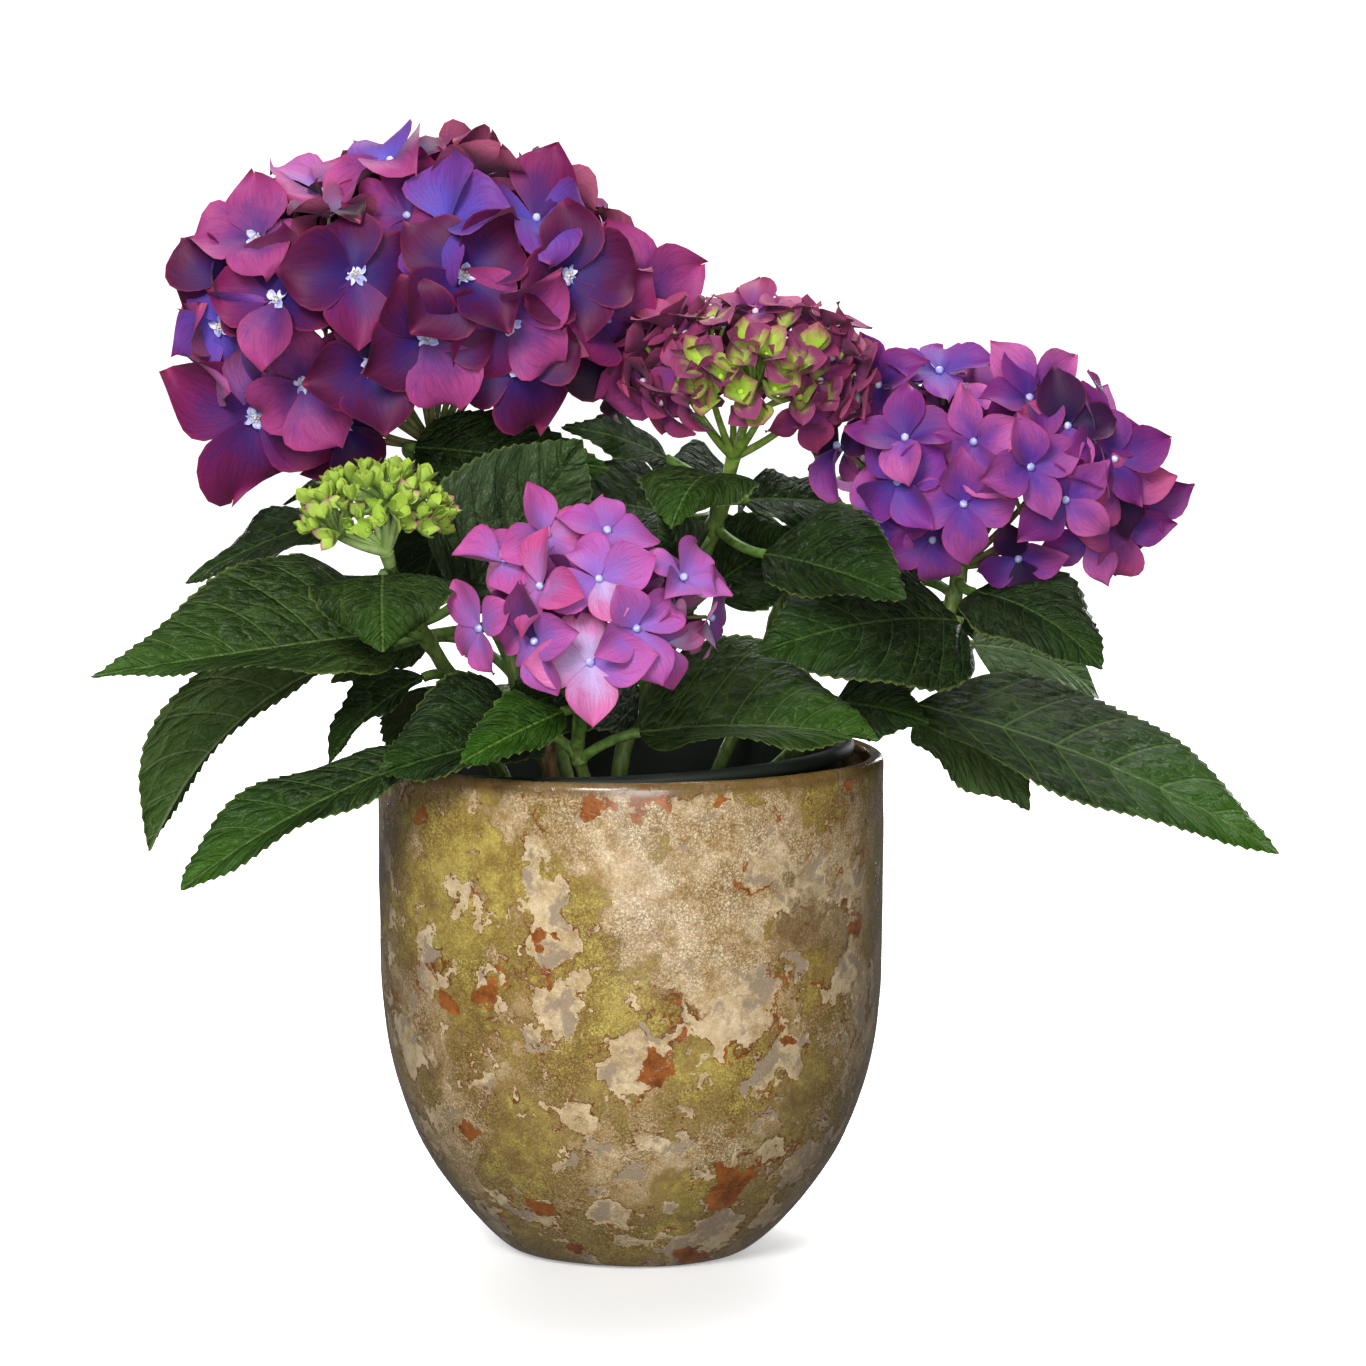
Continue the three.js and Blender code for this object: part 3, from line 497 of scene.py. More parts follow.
def rod(bunch, path, radii, sides, slot=0, room=(0.98, 0.98), corner=(0.01, 0.01)):
    """Adds a closed tapering rod along a path. room, corner: its part of the sheet for baking."""
    path = np.asarray(path, float)
    along = unit(np.gradient(path, axis=0))
    side, _ = square_to(along[0])
    turns = np.arange(sides)[:, None] * 2 * math.pi / sides
    rings = []
    for centre, ahead, radius in zip(path, along, radii):
        side = unit(side - ahead * side.dot(ahead))
        rings.append(centre + radius * (np.cos(turns) * side + np.sin(turns) * np.cross(ahead, side)))
    points = np.concatenate([*rings, path[:1], path[-1:]])
    faces = tube_faces(len(path), sides)
    v, u = np.meshgrid(np.linspace(0, 1, len(path)), np.linspace(0, 1, sides + 1), indexing="ij")
    sheet = np.stack([u, v], -1).reshape(-1, 2)[grid_faces(np.arange(u.size).reshape(u.shape))]
    sheet = np.concatenate([sheet, np.full((len(faces) - len(sheet), 4, 2), 0.5)])
    marks = np.zeros_like(points) if bunch.marks else None
    bunch.add(points, faces, slot, marks, OFBake=sheet * room + corner)


def tile(pairs, number, across=4, margin=0.06):
    """UV pairs moved into one cell of a square sheet of cells."""
    column, row = number % across, number // across
    return (np.array([column, row]) + margin + pairs * (1 - 2 * margin)) / across


def lump(bunch, centre, axis, radii, slot, cell, sides=8, rings=5):
    """Adds a small bead, longer or flatter along its axis. cell: its place on the sheet for baking."""
    up, side = square_to(axis)
    high = np.linspace(-math.pi / 2 + 0.12, math.pi / 2 - 0.12, rings)[:, None, None]
    turn = np.arange(sides)[:, None] * 2 * math.pi / sides
    wide, tall = radii
    ring = up * np.cos(turn) - side * np.sin(turn)
    skin = axis * tall * np.sin(high) + wide * np.cos(high) * ring
    points = centre + np.concatenate([skin.reshape(-1, 3), [-axis * tall, axis * tall]])
    faces = tube_faces(rings, sides)
    number = np.arange(len(points))
    flat = np.stack([number % sides / sides, number // sides / rings], -1)
    bunch.add(points, faces, slot, OFBake=tile(flat[faces], cell))


# Materials. On an object's own place, a pattern's scale is the number of its grains in a metre.
MODES = {
    "Math": "operation", "VectorMath": "operation", "Mix": "data_type", "TexNoise": "noise_dimensions",
    "MapRange": "interpolation_type", "TexVoronoi": "feature",
}


def linear(text):
    """An sRGB hex colour as linear RGBA."""
    parts = [int(text[i:i + 2], 16) / 255 for i in (1, 3, 5)]
    return (*[c / 12.92 if c <= 0.04045 else ((c + 0.055) / 1.055) ** 2.4 for c in parts], 1.0)


def new_material(name):
    """A material without nodes, and the function that adds one node to it with its settings and links."""
    material = bpy.data.materials.new(name)
    material.use_nodes = True
    tree = material.node_tree
    tree.nodes.clear()

    def add(kind, *inputs, out=None, named=None, **settings):
        """Inputs are values or sockets, in the order in which the node shows them or by name. A word after
        the kind is its mode. It returns the output of that name, or else the first one."""
        kind, *mode = kind.split()
        node = tree.nodes.new("ShaderNode" + kind)
        if mode:
            setattr(node, MODES[kind], mode[0])
        for key, value in settings.items():
            setattr(node, key, value)
        shown = [socket for socket in node.inputs if socket.enabled]
        by_name = ((node.inputs[key], value) for key, value in (named or {}).items())
        for socket, value in (*zip(shown, inputs), *by_name):
            if isinstance(value, bpy.types.NodeSocket):
                tree.links.new(value, socket)
            elif value is not None:
                socket.default_value = value
        ready = {socket.name: socket for socket in node.outputs if socket.enabled}
        return ready[out] if out else next(iter(ready.values()), None)

    return material, add


def glaze(pot):
    """Crackle-glazed stoneware: lime pools shading into brown-speckled buff, with smooth cream and lilac-grey
    breaks and rusty islands, all under one clear gloss coat."""
    material, add = new_material("crackle_glazed_stoneware")
    place = add("TexCoord", out="Object")
    wander = add("TexNoise 4D", place, 1.0, 85, 4, 0.56, out="Color")
    wander = add("VectorMath SCALE", add("VectorMath SUBTRACT", wander, (0.5, 0.5, 0.5)), 30 * MM)
    bent = add("VectorMath ADD", place, wander)
    high = add("SeparateXYZ", place, out="Z")
    radii, heights = zip(*POT_OUTSIDE)

    def layer(name, seed, scale, detail, rough):
        """Where a layer of the glaze lies: wandering noise, and more or less of it at its patches."""
        value = add("TexNoise 4D", bent, seed, scale, detail, rough)
        for x, z, radius, more in GLAZE_PATCHES[name]:
            wall = np.interp(z, heights, radii)
            spot = vec((x, -math.sqrt(wall * wall - x * x), z)) * MM
            away = add("VectorMath DISTANCE", bent, tuple(spot))
            extra = add("MapRange SMOOTHSTEP", away, radius * MM * 0.35, radius * MM * 1.15, more, 0.0)
            value = add("Math ADD", value, extra)
        return value

    lime = add("Math ADD", layer("lime", 2.0, 27, 3, 0.5), add("MapRange", high, 0.06, 0.11, 0.025, 0.0))
    rust = layer("rust", 9.1, 56, 6, 0.66)
    brown = layer("brown", 17.0, 34, 4, 0.6)
    islets = add("Mapping", bent, None, None, (0.8, 0.8, 1.15))
    islets = add("TexNoise 4D", islets, 21.0, 88, 3, 0.55)
    islets = add("Math SUBTRACT", islets, add("MapRange", high, 0.11, 0.16, 0.005, 0.055))
    smooth_part = add("Math MAXIMUM", layer("smooth", 5.3, 33, 3, 0.55), islets)
    cloud = add("TexNoise 4D", place, 3.0, 120, 6, 0.72)
    # Crackled layer: buff, then olive, then lime, with brown clouds.
    mottled = add("Math ADD", lime, add("MapRange", cloud, 0.3, 0.7, -0.15, 0.15))
    olive_share = add("MapRange", mottled, 0.46, 0.56)
    less_low = add("MapRange", high, 0.07, 0.13, 0.09, 0.0)
    lime_share = add("MapRange", add("Math SUBTRACT", mottled, less_low), 0.52, 0.7)
    buff = add("Mix RGBA", add("MapRange", cloud, 0.36, 0.62), pot.buff_dark, pot.buff_light)
    olive = add("Mix RGBA", add("MapRange", high, 0.06, 0.12), linear("#ab935a"), pot.olive_dark)
    lime_tone = add("Mix RGBA", add("MapRange", cloud, 0.36, 0.6), linear("#ae944e"), pot.olive_light)
    colour = add("Mix RGBA", olive_share, buff, olive)
    colour = add("Mix RGBA", lime_share, colour, lime_tone)
    colour = add("Mix RGBA", add("MapRange", brown, 0.56, 0.74, 0.0, 0.75), colour, linear("#705632"))
    # Specks a millimetre apart, and crazing in shaken cells, drawn a little wider than the real hairlines.
    shake = add("TexNoise 4D", place, 0.0, 420, 2, 0.5, out="Color")
    cells = add("VectorMath ADD", place, add("VectorMath SCALE", shake, 2.8 * MM))
    craze = add("TexVoronoi DISTANCE_TO_EDGE", cells, 1 / pot.craze_cell)
    speck = add("TexNoise 4D", place, 0.0, 1000, 3, 0.85)
    dirt = add("Math MAXIMUM", add("MapRange", craze, 0.01, 0.16, 0.85, 0.0),
               add("MapRange", speck, 0.47, 0.57, 0.0, 0.85))
    soot = add("TexNoise 4D", place, 7.0, 40, 3, 0.5)
    dirt = add("Math MULTIPLY", dirt, add("MapRange", soot, 0.35, 0.6, 0.5, 1.0))
    dirt = add("Math MULTIPLY", dirt, add("MapRange", lime_share, 0.0, 1.0, 1.0, 0.9))
    colour = add("Mix RGBA", dirt, colour, pot.craze)
    # Smooth layer: its edge is crisp against olive and soft against buff.
    soft_edge = add("Math ADD", add("MapRange", olive_share, 0.0, 1.0, 0.06, 0.008), 0.57)
    smooth_share = add("MapRange", smooth_part, 0.57, soft_edge)
    patchy = add("TexNoise 4D", bent, 12.0, 52, 4, 0.6)
    patchy = add("Math ADD", patchy, add("MapRange", smooth_part, 0.5, 0.7, -0.05, 0.1))
    cream = add("Mix RGBA", add("MapRange", cloud, 0.35, 0.65), linear("#c0a274"), linear("#f2dcb4"))
    grey = add("Mix RGBA", cloud, linear("#9c8872"), linear("#beaa8e"))
    cream_or_grey = add("Mix RGBA", add("MapRange", patchy, 0.54, 0.6), cream, grey)
    colour = add("Mix RGBA", smooth_share, colour, cream_or_grey)
    dust = add("Math MULTIPLY", dirt, add("MapRange", smooth_share, 0.0, 1.0, 0.0, 0.42))
    colour = add("Mix RGBA", dust, colour, pot.craze)
    # Brown line round the smooth patches, broken here and there.
    line = add("Math ABSOLUTE", add("Math SUBTRACT", smooth_part, 0.568))
    line = add("MapRange", line, 0.004, 0.014, 0.95, 0.0)
    line = add("Math MULTIPLY", line, add("MapRange", olive_share, 0.0, 0.5))
    broken = add("TexNoise 4D", place, 4.0, 60, 2, 0.5)
    line = add("Math MULTIPLY", line, add("MapRange", broken, 0.36, 0.46))
    colour = add("Mix RGBA", line, colour, linear("#74401a"))
    # Iron rust: islands with a burnt rim, and a few stretches along the patches' edges.
    edging = add("Math ABSOLUTE", add("Math SUBTRACT", smooth_part, 0.562))
    rare = add("TexNoise 4D", place, 15.0, 64, 2, 0.5)
    edging = add("MapRange", edging, 0.006, 0.016, 1.0, 0.0)
    edging = add("Math MULTIPLY", edging, add("MapRange", rare, 0.57, 0.59))
    rust_share = add("Math MAXIMUM", add("MapRange", rust, 0.7, 0.712), edging)
    iron = add("Mix RGBA", add("MapRange", cloud, 0.38, 0.62), linear("#6e3c18"), linear("#b0682e"))
    colour = add("Mix RGBA", rust_share, colour, iron)
    burnt = add("Math ABSOLUTE", add("Math SUBTRACT", rust, 0.698))
    colour = add("Mix RGBA", add("MapRange", burnt, 0.001, 0.008, 0.7, 0.0), colour, linear("#4e2a10"))
    lip = add("MapRange", high, 191.5 * MM, 194.5 * MM, 0.0, 0.8)
    colour = add("Mix RGBA", lip, colour, linear("#6a5028"))
    # Relief: the crackled layer stands a little proud over a softly uneven wall.
    height = add("TexNoise 4D", place, 0.0, 38, 2, 0.5)
    for share, drop in ((smooth_share, -0.7), (rust_share, -0.3)):
        height = add("Math ADD", height, add("Math MULTIPLY", share, drop))
    bump = add("Bump", named={"Height": height, "Strength": 0.4, "Distance": 0.7 * MM})
    rough = add("MapRange", cloud, 0.3, 0.7, 0.2, 0.36)
    add("OutputMaterial", add("BsdfPrincipled", named={
        "Base Color": colour, "Roughness": rough, "IOR": 1.5, "Normal": bump,
        "Coat Weight": 0.45, "Coat Roughness": 0.1, "Coat IOR": 1.45,
    }))
    return material


def grained(name, grain, shades, rough, spread=(0.35, 0.65), bump=None, ior=1.5, drawn=None, dots=None):
    """A mottled finish. grain: scale, detail and roughness of the mottle; bump: strength and
    depth in millimetres; drawn: scale along +Z of a mottle that is drawn out; dots: their colour, on bark."""
    material, add = new_material(name)
    place = add("TexCoord", out="Object")
    scale, detail, roughness = grain
    along = add("Mapping", place, None, None, (1.0, 1.0, drawn)) if drawn else place
    mottle = add("TexNoise", along, scale, detail, roughness)
    share = add("MapRange", mottle, *spread)
    shade = add("Mix RGBA", share, *(linear(text) for text in shades))
    if dots:
        spots = add("MapRange", add("TexVoronoi", place, 330), 0.1, 0.2, 0.55, 0.0)
        shade = add("Mix RGBA", spots, shade, linear(dots))
    inputs = {"Base Color": shade, "Roughness": rough, "IOR": ior}
    if bump:
        strength, depth = bump
        inputs["Normal"] = add("Bump", named={"Height": mottle, "Strength": strength, "Distance": depth * MM})
    add("OutputMaterial", add("BsdfPrincipled", named=inputs))
    return material


def moulded_plastic():
    """Injection-moulded polypropylene: matt dark green, taken almost to black as painted shade for its shaded
    inside, with a faint pebble.
    """
    # Painted shade: the pot's dark green is darkened almost to black to stand for the shade inside the cover
    # pot.
    shades = ("#0a120a", "#142012")
    return grained("moulded_polypropylene_painted_shade", (900, 2, 0.5), shades, 0.62, (0, 1), (0.15, 0.2), 1.49)


def peat(name, dark, light):
    """Moist peat compost: almost black, matt, with fibres and crumbs a millimetre or two across."""
    return grained(name, (420, 6, 0.75), (dark, light), 0.95, (0.35, 0.7), (0.9, 1.2))


def bark(name, dark, light, rough, scale):
    """Young green stem or dry bark: streaks along the stem and small corky dots."""
    grain, shades = (scale, 4, 0.65), (dark, light)
    return grained(name, grain, shades, rough, (0.32, 0.68), (0.5, 0.4), 1.45, 0.16, "#5c4a2a")


def plain_tissue(name, dark, light, rough=0.5, scale=260):
    """Small soft plant tissue, slightly mottled."""
    return grained(name, (scale, 3, 0.5), (dark, light), rough, ior=1.42)


# Of a leaf: the upper side's deep and light green, its veins, the underside and the fresher tip.
LEAF_TONES = {
    "dark": ("#101d09", "#213412", "#46622e", "#324418", "#2e4e14"),
    "mid": ("#1a2b0b", "#314719", "#5a753a", "#394c1e", "#3c6618"),
    "fresh": ("#1c3808", "#305610", "#608434", "#466024", "#3a7210"),
    "green_tip": ("#13230a", "#22370f", "#567236", "#394c1e", "#3f7014"),
    "pale": ("#3a5826", "#587a40", "#7c9658", "#4c6430", "#5c8040"),
    # The grey tone: a pale grey-green blade, lighter in part as a painted sheen, with veins darker than the
    # blade as painted shade in their sunken grooves.
    "grey": ("#24341c", "#4c5f3c", "#2e3e20", "#3e502a", "#465e30"),
}


def leaf_surface(tone, under):
    """Hydrangea leaf: waxy and dark above with sunken pale veins, matt and paler below with raised ones."""
    deep, light, vein, below, tip = LEAF_TONES[tone]
    material, add = new_material(f"leaf_{'underside' if under else 'upper'}_{tone}")
    growth = add("Attribute", out="Vector", attribute_name="growth")
    across, share, phase = (add("SeparateXYZ", growth, out=axis) for axis in "XYZ")
    share = add("Math ABSOLUTE", share)
    # Midrib about 2 mm wide; side veins 0.8 mm, one for each whole number of the phase.
    rib = add("MapRange SMOOTHSTEP", add("Math ABSOLUTE", across), 0.3, 1.0, 0.9, 0.0)
    side = add("MapRange SMOOTHSTEP", add("Math PINGPONG", phase, 0.5), 0.015, 0.06, 0.62, 0.0)
    side = add("Math MULTIPLY", side, add("MapRange SMOOTHSTEP", share, 0.7, 1.0, 1.0, 0.3))
    # Puckers about 5 by 8 mm between cross veins, and a net a third of that size.
    place = add("CombineXYZ", add("Math MULTIPLY", across, 0.19), add("Math MULTIPLY", phase, 1.9))
    sway = add("VectorMath SCALE", add("TexNoise", place, 1.3, 3, out="Color"), 0.7)
    place = add("VectorMath ADD", sway, place)
    pucker = add("TexVoronoi DISTANCE_TO_EDGE", place, 1.0, named={"Randomness": 0.8})
    ladder = add("MapRange SMOOTHSTEP", pucker, 0.0, 0.1, 1.0, 0.0)
    net = add("TexVoronoi DISTANCE_TO_EDGE", place, 3.2)
    net = add("MapRange SMOOTHSTEP", net, 0.0, 0.14, 1.0, 0.0)
    mottle = add("TexNoise", place, 0.55, 6, 0.62)
    tones = (below, light) if under else (deep, light)
    shade = add("Mix RGBA", add("MapRange SMOOTHSTEP", mottle, 0.32, 0.7), *(linear(text) for text in tones))
    tip_share = add("MapRange SMOOTHSTEP", phase, 3.5, 8.5, 0.0, 0.25 if under else 0.7)
    shade = add("Mix RGBA", tip_share, shade, linear(tip))
    lines = add("Math MAXIMUM", rib, side)
    fine = add("Math MAXIMUM", add("Math MULTIPLY", ladder, 0.3), add("Math MULTIPLY", net, 0.12))
    shade = add("Mix RGBA", add("Math MAXIMUM", lines, fine), shade, linear("#62744a" if under else vein))
    margin = add("MapRange SMOOTHSTEP", share, 0.955, 1.0, 0.0, 0.55)
    shade = add("Mix RGBA", margin, shade, linear("#7c8e48"))
    height = add("Math MULTIPLY", add("MapRange", pucker, 0.0, 0.3, 1.0, 0.0), 0.9)
    height = add("Math ADD", add("Math ADD", height, add("Math MULTIPLY", net, 0.22)), lines)
    bump = add("Bump", named={"Height": height, "Strength": 1.0, "Distance": 1.1 * MM}, invert=not under)
    rough = add("MapRange SMOOTHSTEP", mottle, 0.2, 0.8, *((0.55, 0.75) if under else (0.38, 0.56)))
    add("OutputMaterial", add("BsdfPrincipled", named={
        "Base Color": shade, "Roughness": rough, "IOR": 1.42, "Specular IOR Level": 0.3, "Normal": bump,
    }))
    return material


def sepal_surface(name, inner, outer, edge=None, start=0.12, full=0.92):
    """Satin sepal: one tint at the eye, another at the margin, a thin red rim, and fine veins fanning out."""
    material, add = new_material(name)
    # On a sepal 25 mm long the clouds are 8 mm wide, the veins about 1 mm and the grain half a millimetre.
    place = add("UVMap", uv_map="petal")
    across = add("Math SUBTRACT", add("SeparateXYZ", place, out="X"), 0.5)
    out = add("SeparateXYZ", place, out="Y")
    wide = add("Math ABSOLUTE", across)
    fan = add("CombineXYZ", add("Math DIVIDE", across, add("Math ADD", out, 0.35)), out)
    streak = add("TexNoise", add("Mapping", fan, None, None, (16.0, 1.6, 1.0)), 1.6, 5, 0.7)
    cloud = add("TexNoise", place, 3.2, 4, 0.6)
    reach = add("Math ADD", out, add("Math MULTIPLY", wide, 0.55))
    reach = add("Math ADD", reach, add("MapRange", cloud, 0.3, 0.7, -0.17, 0.17))
    shade = add("Mix RGBA", add("MapRange SMOOTHSTEP", reach, start, full), linear(inner), linear(outer))
    if edge:
        shade = add("Mix RGBA", add("MapRange", reach, 0.82, 1.05), shade, linear(edge))
    rim = add("MapRange", wide, 0.455, 0.5, 0.0, 0.34)
    rim = add("Math MAXIMUM", rim, add("MapRange", out, 0.9, 0.98, 0.0, 0.4))
    shade = add("Mix RGBA", rim, shade, linear("#b0345c"))
    grain = add("MapRange", add("TexNoise", place, 46, 2), 0.35, 0.65, 0.9, 1.1)
    veins = add("Math MULTIPLY", add("MapRange", streak, 0.3, 0.7, 0.74, 1.24), grain)
    shade = add("VectorMath SCALE", shade, veins)
    bump = add("Bump", named={"Height": streak, "Strength": 0.3, "Distance": 0.4 * MM})
    add("OutputMaterial", add("BsdfPrincipled", named={
        "Base Color": shade, "Roughness": 0.56, "IOR": 1.38, "Normal": bump, "Specular IOR Level": 0.35,
        "Sheen Weight": 0.06, "Sheen Roughness": 0.4,
    }))
    return material


# Pot, grow pot and compost
def turn_profile(name, profile, sides):
    """A round shell drawn as by hand: a ring, then extruded and scaled to each step of the profile."""
    bpy.ops.object.select_all(action="DESELECT")
    radius, height = profile[0]
    bpy.ops.mesh.primitive_circle_add(vertices=sides, radius=radius * MM, location=(0, 0, height * MM))
    obj = bpy.context.active_object
    obj.name = obj.data.name = name
    bpy.ops.object.transform_apply(location=True, rotation=True, scale=True)
    bpy.ops.object.mode_set(mode="EDIT")
    bpy.ops.mesh.select_all(action="SELECT")
    bpy.ops.mesh.edge_face_add()
    bpy.ops.mesh.select_all(action="SELECT")
    bpy.ops.mesh.select_mode(type="EDGE")
    for step_radius, step_height in profile[1:]:
        rise = (step_height - height) * MM
        bpy.ops.mesh.extrude_edges_move(TRANSFORM_OT_translate={"value": (0, 0, rise)})
        grow = step_radius / radius
        bpy.ops.transform.resize(value=(grow, grow, 1), center_override=(0, 0, step_height * MM))
        radius, height = step_radius, step_height
    bpy.ops.mesh.edge_face_add()
    bpy.ops.mesh.select_all(action="SELECT")
    bpy.ops.mesh.normals_make_consistent(inside=False)
    bpy.ops.object.mode_set(mode="OBJECT")
    return obj


def apply_modifier(obj, kind, **settings):
    select_only(obj)
    modifier = obj.modifiers.new(kind.lower(), kind)
    for name, value in settings.items():
        setattr(modifier, name, value)
    bpy.ops.object.modifier_apply(modifier=modifier.name)


def uneven(obj, size, strength):
    """Soft hand-made unevenness: the points move along their normals by a smooth noise."""
    texture = bpy.data.textures.new(obj.name + "_relief", "CLOUDS")
    texture.noise_scale = size * MM
    strength *= MM
    apply_modifier(obj, "DISPLACE", texture=texture, strength=strength, mid_level=0.5, texture_coords="LOCAL")


def smooth(obj):
    select_only(obj)
    bpy.ops.object.shade_smooth()


def turned_map(obj):
    """A UV map for baking: round and up the wall outside, the wall inside below it, and the floor and the
    underside as two discs in a corner."""
    mesh = obj.data
    corners = np.zeros(len(mesh.loops), np.int32)
    mesh.loops.foreach_get("vertex_index", corners)
    co = np.zeros(len(mesh.vertices) * 3, np.float32)
    mesh.vertices.foreach_get("co", co)
    co = co.reshape(-1, 3)[corners]
    turn = np.arctan2(co[:, 1], co[:, 0]) / (2 * math.pi) + 0.5
    pairs = np.zeros((len(corners), 2), np.float32)
    top = co[:, 2].max()
    for face in mesh.polygons:
        span = slice(face.loop_start, face.loop_start + face.loop_total)
        radius = np.hypot(co[span, 0], co[span, 1]).mean()
        flat = abs(face.normal.z) > 0.8 and radius < 60 * MM
        if flat or face.loop_total > 8:
            corner = 0.62 if face.normal.z > 0 else 0.87
            pairs[span] = co[span, :2] / 0.52 + (corner, 0.125)
            continue
        around = turn[span].copy()
        around[around < around.max() - 0.5] += 1
        high = co[span, 2] / top
        if face.normal.x * face.center.x + face.normal.y * face.center.y < 0:
            pairs[span] = np.stack([around * 0.45 / 1.01, 0.01 + high * 0.24], -1)
        else:
            pairs[span] = np.stack([around / 1.011, 0.28 + high * 0.71], -1)
    mesh.uv_layers.new(name="OFBake").data.foreach_set("uv", pairs.ravel())


def arc(out, height, radius, start, end):
    """Points of a rolled edge in steps of 30 degrees. out, height: its centre."""
    turns = [ang(a) for a in range(start, end + 1, 30)]
    return [(out + radius * math.cos(a), height + radius * math.sin(a)) for a in turns]


def pot_profile():
    """The cover pot's section: from the underside up the outside, over the lip and down to the floor."""
    wall = POT_OUTSIDE[4:-1]
    inside = []
    for i, (r, z) in enumerate(wall):
        low, high = wall[max(i - 1, 0)], wall[min(i + 1, len(wall) - 1)]
        slope = (high[0] - low[0]) / (high[1] - low[1])
        inside.append((r - POT_WALL * math.hypot(1, slope), z))
    outer = []
    for (r0, z0), (r1, z1) in zip(POT_OUTSIDE, POT_OUTSIDE[1:]):
        steps = max(1, round((z1 - z0) / 12))
        outer += [(r0 + (r1 - r0) * k / steps, z0 + (z1 - z0) * k / steps) for k in range(steps)]
    radius, height = POT_LIP
    lip = arc(POT_OUTSIDE[-1][0] - radius, height, radius, 0, 180)
    floor = [(POT_FLOOR_EDGE, POT_FLOOR), (20, POT_FLOOR)]
    return [(30, 0), *outer, POT_OUTSIDE[-1], *lip, *inside[::-1], *floor]


def grow_pot_profile():
    """The grow pot's section: up the outside, round the rolled rim and down to its floor."""
    g = GROW_POT
    top, roll, floor = g["bottom"] + g["height"], g["roll"], g["bottom"] + g["wall"]
    outer = [(10, g["bottom"]), (g["foot"], g["bottom"]), (g["rim"] - 0.6, top - 2.4 * roll)]
    bead = arc(g["rim"] + roll * 0.5, top - roll, roll, -90, 180)
    return [*outer, *bead, (g["rim"] - 2.2, top - roll), (g["foot"] - 2, floor), (10, floor)]


def tilt(obj):
    lean, pivot = GROW_TILT
    about = Matrix.Translation((0, 0, pivot * MM))
    obj.data.transform(about @ Matrix.Rotation(-ang(lean), 4, "Y") @ about.inverted())


# Canes
def stem(name, at, radii, knots, material):
    """A stem drawn as a curve with a thickness at each point, swollen at its knots, then made a mesh."""
    bpy.ops.object.select_all(action="DESELECT")
    bpy.ops.curve.primitive_nurbs_path_add()
    obj = bpy.context.active_object
    obj.name = name
    curve = obj.data
    curve.splines.clear()
    spline = curve.splines.new("POLY")
    steps = 60
    spline.points.add(steps)
    for i, point in enumerate(spline.points):
        t = i / steps
        swell = sum(0.32 * math.exp(-(((t - k) / 0.022) ** 2)) for k in knots)
        point.co = (*(at(t) * MM), 1)
        point.radius = (radii[0] + (radii[1] - radii[0]) * t) * (1 + swell) * MM
    curve.dimensions = "3D"
    curve.bevel_depth = 1.0
    curve.bevel_resolution = 4
    curve.use_fill_caps = True
    bpy.ops.object.convert(target="MESH")
    obj = bpy.context.active_object
    obj.location = (0, 0, 0)
    apply_modifier(obj, "SUBSURF", levels=1, render_levels=1)
    uneven(obj, 4, 0.5)
    smooth(obj)
    obj.data.materials.clear()
    obj.data.materials.append(material)
    return obj


